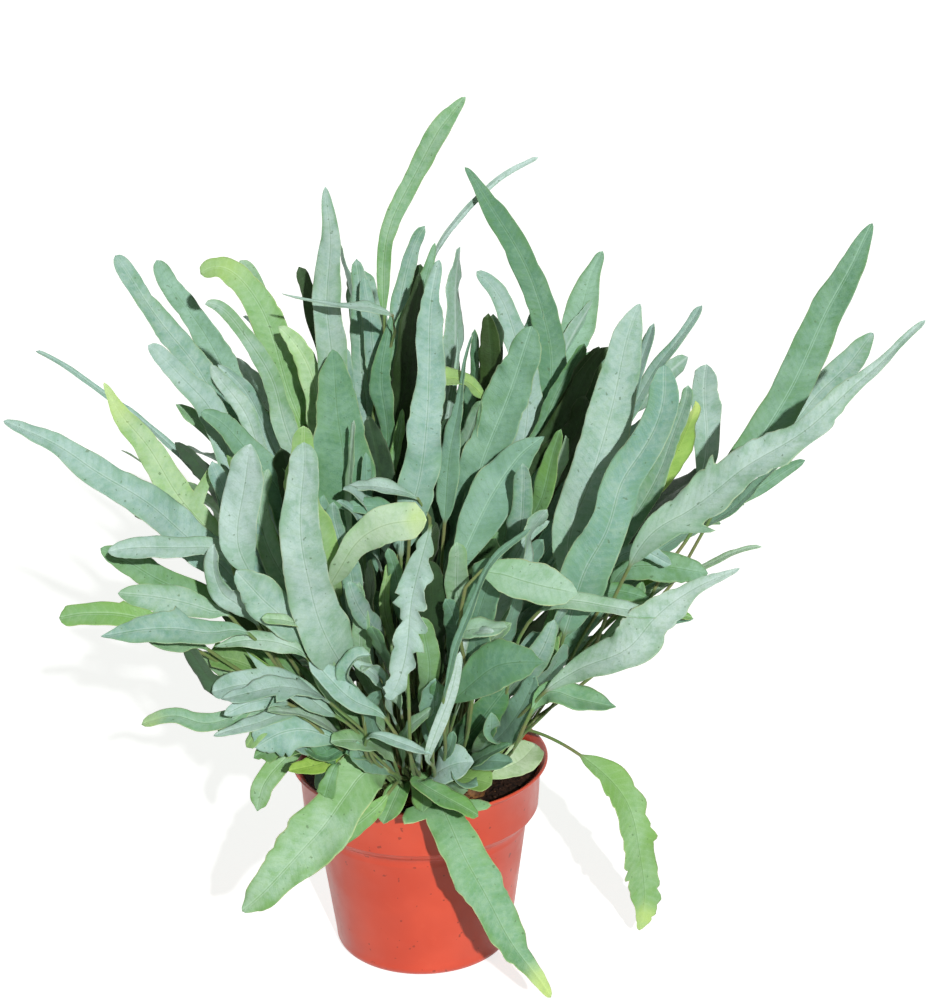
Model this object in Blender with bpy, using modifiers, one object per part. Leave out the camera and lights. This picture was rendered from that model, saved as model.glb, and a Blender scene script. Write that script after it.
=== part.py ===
"""Potted blue star fern.

A thin plastic nursery pot holds soil, four creeping rhizomes lie half sunk in the soil, and
strap-shaped fronds rise from the rhizomes on slender stalks.  Every frond is one closed body.
The origin is the middle of the pot's underside, +Z is up and the front is toward -Y.
"""

import math
from typing import NamedTuple

import bmesh
import bpy
from mathutils import Matrix, Vector, noise

MM = 0.001
GAP = 0.0003

# Pot: a turned shell with a deep rim band and a stepped, tapering body.
POT_HEIGHT = 0.095
LIP_RADIUS = 0.060
BAND_TOP_RADIUS = 0.0566
BAND_RADIUS = 0.0554
BAND_BOTTOM = 0.0715
BODY_TOP_RADIUS = 0.0498
BODY_TOP = 0.0652
BODY_BOTTOM_RADIUS = 0.0420
FOOT_CORNER = 0.0050
WALL = 0.0012
FLOOR = 0.0015
CHANNEL_LIFT = 0.0025
CHANNEL_INNER = 0.0160
CHANNEL_OUTER = 0.0345
DRAIN_HOLES = 8
DRAIN_RADIUS = 0.0035
DRAIN_CIRCLE = 0.0255
POT_STEPS = 44

# Soil: fills the pot to a little below the lip.
SOIL_TOP = 0.0890
SOIL_CROWN = 0.0008
SOIL_STEPS = 40
SOIL_RINGS = 5

# Rhizomes: creeping stems, given by the points they run through, in millimetres.
RHIZOME_RADIUS = 0.0045
RHIZOMES = {
    "front": ((-27, -33, 90.5), (-8, -37, 91), (12, -34, 91), (30, -29, 90.5)),
    "middle": ((-42, -14, 90.5), (-14, -9, 91), (12, -14, 91), (44, -8, 90.5)),
    "rear": ((-40, 14, 90.5), (-12, 10, 91), (14, 16, 91), (45, 17, 90.5)),
    "back": ((-26, 36, 90.5), (0, 32, 91), (25, 37, 90.5)),
}

# Fronds: a slender stalk that widens into a strap-shaped blade.
STUB = 0.004
STALK_WIDTH = 0.0022
STALK_DEPTH = 0.0018
BLADE_DEPTH = 0.0008
TIP_WIDTH = 0.0016
CUP = 0.16
STALK_ROWS = 3
BLADE_ROWS = 8
LOBE_ROWS = 3


class Frond(NamedTuple):
    """One frond; lengths in millimetres, angles in degrees."""

    rhizome: str                # the rhizome that carries it
    at: float                   # place along that rhizome, 0 to 1
    lean: float                 # tilt of the stalk at the rhizome, + toward the back
    rise: float                 # how far the stalk keeps that direction
    arch: tuple                 # point that the bend reaches for
    tip: tuple                  # end of the blade
    width: float                # widest part of the blade
    face: tuple = (270, 35)     # azimuth and elevation that the upper side looks toward
    stalk: float = 0.30         # share of the length that is bare stalk
    twist: float = 0            # turn of the blade from its foot to its tip
    lobes: tuple = ()           # (side, place along the blade, reach, angle off the blade)


FRONDS = {
    "top": (
        Frond("rear", 0.42, 0, 120, (-26, 40, 345), (27, 38, 398), 11),
        Frond("rear", 0.20, -8, 90, (-40, -16, 302), (-33, -19, 371), 13),
        Frond("rear", 0.82, 4, 80, (110, 64, 262), (24, 68, 359), 16),
        Frond("rear", 0.64, 10, 70, (93, 45, 253), (30, 48, 316), 13),
        Frond("back", 0.70, 0, 90, (70, 100, 240), (91, 112, 308), 18),
        Frond("middle", 0.42, 0, 100, (3, -40, 262), (14, -28, 340), 15, (270, 35), 0.22),
        Frond("rear", 0.50, -4, 100, (-4, 8, 266), (12, 10, 338), 15),
        Frond("back", 0.42, 0, 90, (-7, 48, 254), (5, 48, 318), 14),
        Frond("back", 0.55, 0, 110, (-37, 67, 311), (60, 80, 363), 7, (340, 30)),
        Frond("middle", 0.62, 4, 80, (26, -38, 236), (53, -14, 306), 21, (270, 35), 0.25),
    ),
    "left": (
        Frond("rear", 0.05, 0, 60, (-82, 30, 262), (-136, 45, 325), 14),
        Frond("back", 0.12, 0, 60, (-84, 66, 250), (-121, 90, 312), 15),
        Frond("rear", 0.13, -6, 70, (-58, 15, 358), (-94, 20, 325), 14),
        Frond("middle", 0.18, 4, 70, (-59, -22, 328), (-86, -27, 324), 10),
        Frond("middle", 0.07, 10, 50, (-75, -5, 268), (-114, -11, 302), 14),
        Frond("rear", 0.00, 8, 50, (-90, 50, 234), (-176, 70, 274), 9, (240, 70)),
        Frond("middle", 0.00, 0, 45, (-105, -42, 250), (-129, -53, 297), 14, (270, 35), 0.35, 0,
              ((1, 0.52, 18, 65),)),
        Frond("front", 0.02, 6, 50, (-90, -70, 246), (-171, -61, 286), 18, (280, 40), 0.4),
        Frond("front", 0.08, -12, 50, (-94, -77, 228), (-132, -84, 232), 11, (270, 50), 0.42),
        Frond("middle", 0.12, 4, 50, (-53, -29, 266), (-90, -27, 274), 15),
        Frond("front", 0.15, 4, 60, (-70, -97, 220), (-64, -104, 286), 17, (270, 35), 0.6),
        Frond("front", 0.29, 2, 60, (-36, -104, 196), (-41, -114, 291), 20, (270, 35), 0.5),
        Frond("middle", 0.24, -8, 60, (-47, -82, 222), (-44, -86, 290), 14, (270, 35), 0.4),
        Frond("middle", 0.30, 8, 60, (-30, -32, 240), (-34, -30, 306), 18, (270, 35), 0.35),
    ),
    "low": (
        Frond("middle", 0.09, -24, 30, (-79, -59, 203), (-124, -61, 218), 11),
        Frond("front", 0.00, -32, 35, (-79, -80, 207), (-123, -85, 216), 11, (270, 35), 0.4),
        Frond("front", 0.13, -38, 30, (-99, -108, 228), (-145, -114, 212), 11, (270, 50), 0.55),
        Frond("front", 0.22, -28, 30, (-86, -116, 216), (-126, -122, 208), 12, (270, 50), 0.5),
        Frond("front", 0.38, -46, 25, (-54, -110, 182), (-82, -112, 178), 12, (270, 60), 0.35, 0,
              ((-1, 0.4, 12, 50),)),
        Frond("front", 0.06, -50, 20, (-87, -94, 165), (-117, -92, 151), 10, (270, 60)),
        Frond("middle", 0.00, -50, 15, (-76, -42, 156), (-71, -60, 107), 10, (230, 40), 0.5),
        Frond("front", 0.32, -58, 22, (-16, -88, 126), (-74, -101, 71), 22, (250, 60), 0.22),
        Frond("front", 0.55, -60, 24, (4, -88, 112), (55, -93, 19), 20, (280, 50), 0.22, 0,
              ((-1, 0.2, 16, 70),)),
    ),
    "heart": (
        Frond("middle", 0.03, -12, 170, (45, -112, 286), (-11, -110, 177), 16, (270, 40), 0.3),
        Frond("front", 0.45, -14, 30, (7, -96, 162), (4, -104, 206), 11, (270, 35), 0.5),
        Frond("front", 0.56, -10, 40, (16, -116, 214), (37, -122, 209), 8, (270, 60), 0.55),
        Frond("front", 0.66, -20, 40, (24, -115, 200), (56, -122, 192), 19, (270, 60), 0.6),
        Frond("front", 0.78, -10, 60, (29, -116, 250), (72, -122, 223), 19, (290, 55), 0.52),
        Frond("front", 0.46, -48, 18, (-2, -74, 128), (25, -80, 131), 18, (280, 55)),
        Frond("middle", 0.54, -8, 60, (24, -68, 224), (59, -34, 269), 17),
    ),
    "right": (
        Frond("middle", 0.72, 0, 60, (72, -42, 232), (100, -28, 324), 18, (270, 35), 0.3),
        Frond("middle", 0.79, -4, 55, (90, -78, 232), (106, -67, 303), 18, (270, 35), 0.3),
        Frond("rear", 0.88, 10, 55, (142, 36, 224), (134, 42, 272), 11),
        Frond("middle", 0.86, 6, 50, (118, -11, 224), (209, 25, 342), 20, (270, 35), 0.38),
        Frond("rear", 0.96, 0, 50, (152, 30, 232), (214, 62, 280), 12),
        Frond("middle", 0.94, -4, 45, (98, -76, 226), (217, -66, 320), 16, (280, 45), 0.38, 0,
              ((1, 0.4, 11, 40),)),
        Frond("front", 1.00, 0, 30, (80, -94, 194), (134, -99, 226), 20, (280, 45), 0.45, 0,
              ((-1, 0.25, 14, 45),)),
        Frond("rear", 1.00, -10, 12, (118, -22, 98), (101, -12, 8), 14, (300, 30), 0.5),
        Frond("front", 0.92, -30, 12, (50, -36, 106), (58, -8, 107), 14, (250, 60)),
    ),
    "rear": (
        Frond("back", 0.20, 30, 60, (-60, 110, 230), (-100, 150, 245), 20, (300, 60)),
        Frond("back", 0.33, 40, 60, (-20, 120, 250), (-30, 165, 288), 22, (280, 60)),
        Frond("back", 0.48, 35, 60, (20, 120, 235), (35, 160, 230), 21, (260, 60)),
        Frond("back", 0.82, 30, 60, (65, 105, 230), (96, 140, 252), 20, (240, 60)),
        Frond("back", 0.93, 25, 45, (100, 80, 190), (150, 100, 170), 18, (230, 60)),
    ),
}

# Leaf colours (base colour, roughness): most fronds are glaucous, some are greener or young.
LEAVES = {
    "glaucous_leaf": ((0.30, 0.50, 0.38), 0.55),
    "green_leaf": ((0.17, 0.32, 0.17), 0.50),
    "young_leaf": ((0.42, 0.58, 0.24), 0.50),
}
GREEN = {"top_5", "top_8", "top_9", "left_2", "left_10", "low_1", "low_6", "heart_4",
         "rear_4", "rear_5"}
YOUNG = {"left_3", "left_4", "left_7", "low_3", "low_9", "heart_1", "right_8"}


def smooth_step(value):
    value = min(max(value, 0.0), 1.0)
    return value * value * (3 - 2 * value)


def new_material(name, colour, roughness):
    material = bpy.data.materials.new(name)
    material.use_nodes = True
    shader = material.node_tree.nodes["Principled BSDF"]
    shader.inputs["Base Color"].default_value = (*colour, 1)
    shader.inputs["Roughness"].default_value = roughness
    shader.inputs["Metallic"].default_value = 0
    return material


def new_object(name, mesh, material, collection):
    for polygon in mesh.polygons:
        polygon.use_smooth = True
    mesh.materials.append(material)
    thing = bpy.data.objects.new(name, mesh)
    collection.objects.link(thing)
    return thing


def new_collection(name):
    collection = bpy.data.collections.new(name)
    bpy.context.scene.collection.children.link(collection)
    return collection


def profile_mesh(name, profile):
    """An open polyline of (radius, height) in the XZ plane."""
    mesh = bpy.data.meshes.new(name)
    edges = [(i, i + 1) for i in range(len(profile) - 1)]
    mesh.from_pydata([(radius, 0, height) for radius, height in profile], edges, [])
    return mesh


def turn(thing, steps):
    screw = thing.modifiers.new("turned", "SCREW")
    screw.steps = steps
    screw.render_steps = steps
    screw.use_merge_vertices = True
    screw.merge_threshold = 0.00005
    screw.use_smooth_shade = True


def hide_cutter(thing):
    thing.hide_render = True
    thing.display_type = "WIRE"


def cut(thing, cutter):
    boolean = thing.modifiers.new("cut", "BOOLEAN")
    boolean.operation = "DIFFERENCE"
    boolean.solver = "EXACT"
    boolean.object = cutter


# --- pot and soil -------------------------------------------------------------------------

def corner_arc(centre, radius, start, end, steps):
    """Points on an arc; angles in degrees, 0 toward +radius and 90 up."""
    points = []
    for step in range(steps + 1):
        angle = math.radians(start + (end - start) * step / steps)
        points.append((centre[0] + radius * math.cos(angle), centre[1] + radius * math.sin(angle)))
    return points


def inner_wall():
    """The pot's inside from the floor's edge up to the lip."""
    return [
        (BODY_BOTTOM_RADIUS - WALL - 0.0020, FLOOR + CHANNEL_LIFT),
        (BODY_BOTTOM_RADIUS - WALL + 0.0005, FLOOR + CHANNEL_LIFT + 0.0025),
        (BODY_TOP_RADIUS - WALL, BODY_TOP + 0.0008),
        (BAND_RADIUS - WALL, BAND_BOTTOM + 0.0012),
        (BAND_TOP_RADIUS - WALL, POT_HEIGHT - 0.0040),
    ]


def outer_wall():
    """The pot's outside from below the lip down to the foot."""
    wall = [
        (BAND_TOP_RADIUS, POT_HEIGHT - 0.0042),
        (BAND_RADIUS, BAND_BOTTOM),
        (BAND_RADIUS - 0.0012, BAND_BOTTOM - 0.0016),
        (BODY_TOP_RADIUS + 0.0008, BODY_TOP + 0.0010),
        (BODY_TOP_RADIUS, BODY_TOP - 0.0004),
    ]
    foot = (BODY_BOTTOM_RADIUS - FOOT_CORNER, FOOT_CORNER)
    return wall + corner_arc(foot, FOOT_CORNER, 6, -90, 5)


def pot_profile():
    channel_floor = FLOOR + CHANNEL_LIFT
    inside = [
        (0, FLOOR),
        (CHANNEL_INNER - 0.0015, FLOOR),
        (CHANNEL_INNER, channel_floor),
    ]
    lip = [
        (LIP_RADIUS - 0.0014, POT_HEIGHT - 0.0006),
        (LIP_RADIUS - 0.0008, POT_HEIGHT),
        (LIP_RADIUS, POT_HEIGHT - 0.0005),
        (LIP_RADIUS - 0.0003, POT_HEIGHT - 0.0014),
        (LIP_RADIUS - 0.0018, POT_HEIGHT - 0.0022),
    ]
    underside = [
        (CHANNEL_OUTER + 0.0012, 0),
        (CHANNEL_OUTER, CHANNEL_LIFT),
        (CHANNEL_INNER + 0.0012, CHANNEL_LIFT),
        (CHANNEL_INNER, 0),
        (0, 0),
    ]
    return inside + inner_wall() + lip + outer_wall() + underside


def drain_cutter(collection):
    holes = bmesh.new()
    for index in range(DRAIN_HOLES):
        turn_to = Matrix.Rotation(math.tau * index / DRAIN_HOLES, 4, "Z")
        place = turn_to @ Matrix.Translation((DRAIN_CIRCLE, 0, CHANNEL_LIFT))
        bmesh.ops.create_cone(holes, cap_ends=True, segments=16, radius1=DRAIN_RADIUS,
                              radius2=DRAIN_RADIUS, depth=4 * CHANNEL_LIFT, matrix=place)
    mesh = bpy.data.meshes.new("drain_cutter")
    holes.to_mesh(mesh)
    holes.free()
    cutter = bpy.data.objects.new("drain_cutter", mesh)
    collection.objects.link(cutter)
    hide_cutter(cutter)
    return cutter


def make_pot(parts, cutters):
    plastic = new_material("terracotta_plastic", (0.62, 0.11, 0.055), 0.42)
    pot = new_object("pot", profile_mesh("pot", pot_profile()), plastic, parts)
    turn(pot, POT_STEPS)
    cut(pot, drain_cutter(cutters))


def soil_profile():
    """The soil follows the inside of the pot, a small gap away from it."""
    wall = [(radius - GAP, height + GAP) for radius, height in inner_wall()]
    below_top = [point for point in wall if point[1] < SOIL_TOP - 0.004]
    low, high = wall[-2], wall[-1]
    share = (SOIL_TOP - low[1]) / (high[1] - low[1])
    edge = low[0] + (high[0] - low[0]) * share
    top = [(edge * ring / SOIL_RINGS, SOIL_TOP) for ring in range(SOIL_RINGS)]
    top.append((edge - 0.0006, SOIL_TOP - 0.0002))
    return top + [(edge, SOIL_TOP - 0.0012)] + below_top[::-1] + [(0, below_top[0][1])]


def make_soil(parts, cutters, rhizomes):
    peat = new_material("peat_soil", (0.028, 0.016, 0.010), 0.95)
    turned = new_object("soil", profile_mesh("soil", soil_profile()), peat, parts)
    turn(turned, SOIL_STEPS)
    bpy.context.view_layer.update()
    depsgraph = bpy.context.evaluated_depsgraph_get()
    mesh = bpy.data.meshes.new_from_object(turned.evaluated_get(depsgraph))
    bpy.data.objects.remove(turned)
    for vertex in mesh.vertices:
        radius = math.hypot(vertex.co.x, vertex.co.y)
        if vertex.co.z > SOIL_TOP - 0.0004 and radius < BAND_RADIUS - 0.004:
            bump = noise.noise(vertex.co * 90)
            vertex.co.z += SOIL_CROWN * bump
    soil = new_object("soil", mesh, peat, parts)
    for name, points in rhizomes.items():
        longer = [points[0] + (points[0] - points[1]).normalized() * GAP, *points[1:-1],
                  points[-1] + (points[-1] - points[-2]).normalized() * GAP]
        trough = tube_object(f"{name}_trough", longer, RHIZOME_RADIUS + GAP, cutters)
        hide_cutter(trough)
        cut(soil, trough)


# --- rhizomes -----------------------------------------------------------------------------

def through_points(points, count):
    """A smooth line through the given points (Catmull-Rom), evenly stepped by parameter."""
    first = points[0] * 2 - points[1]
    last = points[-1] * 2 - points[-2]
    knots = [first, *points, last]
    spans = len(points) - 1
    line = []
    for step in range(count + 1):
        place = min(step / count * spans, spans - 1e-9)
        span = int(place)
        t = place - span
        a, b, c, d = knots[span:span + 4]
        line.append(0.5 * (2 * b + (c - a) * t + (2 * a - 5 * b + 4 * c - d) * t ** 2
                           + (3 * b - a - 3 * c + d) * t ** 3))
    return line


def tube_object(name, points, radius, collection):
    """A round stem with closed ends, as a mesh."""
    curve = bpy.data.curves.new(name, "CURVE")
    curve.dimensions = "3D"
    curve.bevel_depth = radius
    curve.bevel_resolution = 2
    curve.use_fill_caps = True
    spline = curve.splines.new("POLY")
    spline.points.add(len(points) - 1)
    for knot, point in zip(spline.points, points):
        knot.co = (*point, 1)
    drawn = bpy.data.objects.new(name, curve)
    bpy.context.scene.collection.objects.link(drawn)
    bpy.context.view_layer.update()
    depsgraph = bpy.context.evaluated_depsgraph_get()
    mesh = bpy.data.meshes.new_from_object(drawn.evaluated_get(depsgraph))
    bpy.data.objects.remove(drawn)
    welded = bmesh.new()
    welded.from_mesh(mesh)
    bmesh.ops.remove_doubles(welded, verts=welded.verts, dist=0.00001)
    welded.to_mesh(mesh)
    welded.free()
    mesh.name = name
    thing = bpy.data.objects.new(name, mesh)
    collection.objects.link(thing)
    return thing


def rhizome_line(name):
    return through_points([Vector(point) * MM for point in RHIZOMES[name]], 10)


def make_rhizomes(parts, lines):
    scales = new_material("rhizome_scales", (0.45, 0.22, 0.07), 0.8)
    for name, line in lines.items():
        stem = tube_object(f"rhizome_{name}", line, RHIZOME_RADIUS, parts)
        stem.data.materials.append(scales)


# --- fronds -------------------------------------------------------------------------------

def line_at(line, share):
    """Point and direction at a share of the way along a polyline."""
    place = min(max(share, 0.0), 1.0) * (len(line) - 1)
    index = min(int(place), len(line) - 2)
    start, end = line[index], line[index + 1]
    return start.lerp(end, place - index), (end - start).normalized()


def bezier(points, t):
    a, b, c, d = points
    s = 1 - t
    return a * s ** 3 + b * 3 * s * s * t + c * 3 * s * t * t + d * t ** 3


def look_direction(azimuth, elevation):
    flat = math.cos(math.radians(elevation))
    return Vector((flat * math.cos(math.radians(azimuth)), flat * math.sin(math.radians(azimuth)),
                   math.sin(math.radians(elevation))))


def blade_share(along):
    """Half width of the blade as a share of its widest, from its foot (0) to its tip (1)."""
    foot = smooth_step(along / 0.3) ** 0.8
    point = 1 - max((along - 0.55) / 0.45, 0) ** 2.4
    return foot * max(point, 0) ** 0.7


class Row(NamedTuple):
    """A line of points across the frond."""

    middle: Vector
    along: Vector
    across: Vector
    normal: Vector
    half: float
    blade: float


def frond_rows(frond, lines):
    """Rows of a frond from the seat on its rhizome to its tip."""
    centre, axis = line_at(lines[frond.rhizome], frond.at)
    up = (Vector((0, 0, 1)) - axis * axis.z).normalized()
    start = Matrix.Rotation(math.radians(-frond.lean), 3, axis) @ up
    seat = centre + start * (RHIZOME_RADIUS + GAP)
    stub = seat + start * STUB
    controls = (stub, seat + start * (frond.rise * MM), Vector(frond.arch) * MM,
                Vector(frond.tip) * MM)
    shares = [frond.stalk * step / STALK_ROWS for step in range(STALK_ROWS)]
    shares += [frond.stalk + (1 - frond.stalk) * step / BLADE_ROWS for step in range(BLADE_ROWS + 1)]
    look = look_direction(*frond.face)
    rows = []
    for share in [None, *shares]:
        place = share or 0.0
        middle = seat if share is None else bezier(controls, place)
        step = bezier(controls, min(place + 0.01, 1)) - bezier(controls, max(place - 0.01, 0))
        along = start if share is None or place == 0 else step.normalized()
        blade = max((place - frond.stalk) / (1 - frond.stalk), 0)
        normal = (look - along * look.dot(along)).normalized()
        normal = Matrix.Rotation(math.radians(frond.twist) * blade, 3, along) @ normal
        half = max(frond.width * MM * blade_share(blade), 0) / 2
        narrow = STALK_WIDTH if blade < 0.5 else TIP_WIDTH
        half = max(half, narrow / 2)
        rows.append(Row(middle, along, along.cross(normal), normal, half, blade))
    return rows


def add_lobe(mesh, edge, foot, side, reach, angle):
    """Grows a side lobe from three neighbouring points of the blade's edge."""
    outward = foot.across * side * math.sin(math.radians(angle))
    heading = foot.along * math.cos(math.radians(angle)) + outward
    before = edge
    for step in range(1, LOBE_ROWS + 1):
        share = step / LOBE_ROWS
        spread = 1 - 0.8 * share ** 2.5
        middle = edge[1].co + heading * reach * share
        line = []
        for point in edge:
            offset = (point.co - edge[1].co) * spread
            line.append(mesh.verts.new(middle + offset))
        for one, two in zip(range(2), range(1, 3)):
            corners = [before[one], before[two], line[two], line[one]]
            mesh.faces.new(corners if side < 0 else corners[::-1])
        before = line


def frond_object(name, frond, lines, material, collection):
    rows = frond_rows(frond, lines)
    sheet = bmesh.new()
    points = []
    for row in rows:
        lift = row.normal * row.half * CUP * min(row.blade * 4, 1)
        points.append([sheet.verts.new(row.middle - row.across * row.half + lift),
                       sheet.verts.new(row.middle),
                       sheet.verts.new(row.middle + row.across * row.half + lift)])
    for low, high in zip(points, points[1:]):
        for column in (0, 1):
            sheet.faces.new([low[column], low[column + 1], high[column + 1], high[column]])
    first_blade_row = 1 + STALK_ROWS
    for side, place, reach, angle in frond.lobes:
        foot = first_blade_row + round(place * BLADE_ROWS)
        edge = [line[2 if side > 0 else 0] for line in points[foot - 1:foot + 2]]
        add_lobe(sheet, edge, rows[foot], side, reach * MM, angle)
    mesh = bpy.data.meshes.new(name)
    sheet.verts.index_update()
    thin = [vertex.index for line, row in zip(points, rows) if row.blade > 0.1 for vertex in line]
    thin += range(3 * len(rows), len(sheet.verts))
    thick = [vertex.index for line, row in zip(points, rows) if row.blade <= 0.1 for vertex in line]
    sheet.to_mesh(mesh)
    sheet.free()
    thing = new_object(name, mesh, material, collection)
    depth = thing.vertex_groups.new(name="depth")
    depth.add(thin, BLADE_DEPTH / STALK_DEPTH, "REPLACE")
    depth.add(thick, 1.0, "REPLACE")
    solid = thing.modifiers.new("depth", "SOLIDIFY")
    solid.thickness = STALK_DEPTH
    solid.offset = 0
    solid.vertex_group = "depth"


def leaf_kind(place):
    if place in YOUNG:
        return "young_leaf"
    return "green_leaf" if place in GREEN else "glaucous_leaf"


def make_fronds(parts, lines):
    leaves = {name: new_material(name, *look) for name, look in LEAVES.items()}
    for group, fronds in FRONDS.items():
        for number, frond in enumerate(fronds, start=1):
            place = f"{group}_{number}"
            frond_object(f"frond_{place}", frond, lines, leaves[leaf_kind(place)], parts)


def main():
    for thing in list(bpy.data.objects):
        bpy.data.objects.remove(thing)
    parts = new_collection("potted_blue_star_fern")
    cutters = new_collection("cutters")
    lines = {name: rhizome_line(name) for name in RHIZOMES}
    make_pot(parts, cutters)
    make_soil(parts, cutters, lines)
    make_rhizomes(parts, lines)
    make_fronds(parts, lines)


main()
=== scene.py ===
"""Potted blue star fern: the visual model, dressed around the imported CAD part.

The CAD solids fix where the pot, the soil, the rhizomes and the main fronds are.  This script
replaces them with fine surfaces: thin wavy blades on round stalks, a moulded pot, crumbly soil
and scaly rhizomes.  Lengths in the tables are millimetres, angles are degrees.
"""

import math
import zlib
from functools import partial
from typing import NamedTuple

import bpy
import numpy as np
from mathutils import Matrix, Vector, noise


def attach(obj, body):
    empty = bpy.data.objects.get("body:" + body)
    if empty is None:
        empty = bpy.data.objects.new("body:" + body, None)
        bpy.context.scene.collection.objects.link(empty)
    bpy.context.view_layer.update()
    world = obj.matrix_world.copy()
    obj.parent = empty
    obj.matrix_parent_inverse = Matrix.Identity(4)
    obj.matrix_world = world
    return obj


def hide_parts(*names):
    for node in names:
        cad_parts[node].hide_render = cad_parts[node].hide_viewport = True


MM = 0.001
UP = np.array((0, 0, 1.0))
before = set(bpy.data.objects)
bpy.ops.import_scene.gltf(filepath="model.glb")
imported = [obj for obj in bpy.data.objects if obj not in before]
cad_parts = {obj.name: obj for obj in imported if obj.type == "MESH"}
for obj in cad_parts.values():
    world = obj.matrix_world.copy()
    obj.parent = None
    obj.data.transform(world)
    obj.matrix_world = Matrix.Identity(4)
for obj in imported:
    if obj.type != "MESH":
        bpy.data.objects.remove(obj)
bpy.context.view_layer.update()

# --- the plant's layout -------------------------------------------------------------------

RHIZOME_RADIUS = 4.5
RHIZOMES = {
    "front": ((-27, -33, 90.5), (-8, -37, 91), (12, -34, 91), (30, -29, 90.5)),
    "middle": ((-42, -14, 90.5), (-14, -9, 91), (12, -14, 91), (44, -8, 90.5)),
    "rear": ((-40, 14, 90.5), (-12, 10, 91), (14, 16, 91), (45, 17, 90.5)),
    "back": ((-26, 36, 90.5), (0, 32, 91), (25, 37, 90.5)),
}


class Frond(NamedTuple):
    """One frond: a bare stalk from a rhizome, then a strap-shaped blade."""

    rhizome: str                # the rhizome that carries it
    at: float                   # place along that rhizome, 0 to 1
    lean: float                 # tilt of the stalk at the rhizome, + toward the back
    via: tuple                  # how far the stalk rises straight and the point that the bend
                                # reaches for, or the points that the frond runs through
    tip: tuple                  # end of the blade
    width: float                # widest part of the blade
    face: tuple = (270, 35)     # azimuth and elevation that the upper side looks toward
    stalk: float = 0.30         # share of the bend that is bare stalk
    leaf: str = "glaucous"      # leaf material
    shape: str = "strap"        # outline of the blade
    lobes: tuple = ()           # (side, place along the blade, reach, half width)
    veer: float = 58            # angle of the veins and lobes off the midrib
    tone: float = 0.5           # 0 dark to 1 pale
    warm: float = -1            # 0 bluish to 1 yellowish; drawn at random where negative
    yellow: float = 0.0         # how yellow the tip is
    rib: float = 0.35           # midrib: 0 a dark groove, 1 a pale ridge
    ruffle: float = 0.55        # height of the waves along the margins
    scallop: float = 0.07       # depth of the margin's scallops, as a share of the half width
    cup: float = 0.12           # how far the margins turn up
    twist: float = 0            # turn of the blade from foot to tip


# A frond of each of the other leaf materials, whose colours are in LEAF_LOOKS.
# The shade fronds are painted shade: near-black leaves put where the foliage lies in deep shadow and in
# the dark gaps between fronds.
green, fresh, olive, lime, young, shade = (
    partial(Frond, leaf=kind) for kind in ("green", "fresh", "olive", "lime", "young", "shade"))

# Outlines: the half width, as a share of the widest, at places along the blade after its foot at
# (0, 0); then how long the rounded tip is, as a share of the blade's width.
SHAPES = {
    "strap": (((0.12, 0.45), (0.28, 0.85), (0.5, 1), (0.75, 0.92), (1, 0.66)), 0.50),
    "even": (((0.08, 0.55), (0.2, 0.9), (0.5, 1), (0.8, 0.95), (1, 0.8)), 0.45),
    "lance": (((0.12, 0.5), (0.3, 0.92), (0.5, 1), (0.75, 0.72), (0.9, 0.42), (1, 0.16)), 0.30),
    "taper": (((0.06, 0.8), (0.2, 1), (0.5, 0.93), (0.8, 0.66), (1, 0.3)), 0.30),
    "spoon": (((0.2, 0.35), (0.45, 0.75), (0.75, 1), (1, 0.85)), 0.50),
    "wedge": (((0.1, 0.7), (0.25, 1), (0.45, 0.9), (0.8, 0.68), (1, 0.6)), 0.42),
    "dart": (((0.15, 0.75), (0.38, 1), (0.6, 0.72), (0.8, 0.34), (1, 0.12)), 0.20),
    "cap": (((0.15, 0.5), (0.55, 0.85), (0.85, 1), (1, 0.95)), 0.60),
    "club": (((0.06, 0.75), (0.18, 1), (0.4, 0.84), (0.6, 0.74), (1, 0.62)), 0.42),
    "spear": (((0.06, 0.6), (0.2, 0.95), (0.4, 1), (0.7, 0.94), (0.86, 0.72), (1, 0.2)), 0.30),
    "flame": (((0.08, 0.7), (0.22, 1), (0.4, 0.8), (0.6, 0.5), (0.8, 0.3), (1, 0.12)), 0.20),
    "paddle": (((0.12, 0.55), (0.45, 0.6), (0.65, 0.8), (0.82, 1), (0.93, 0.72), (1, 0.25)), 0.25),
}

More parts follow.
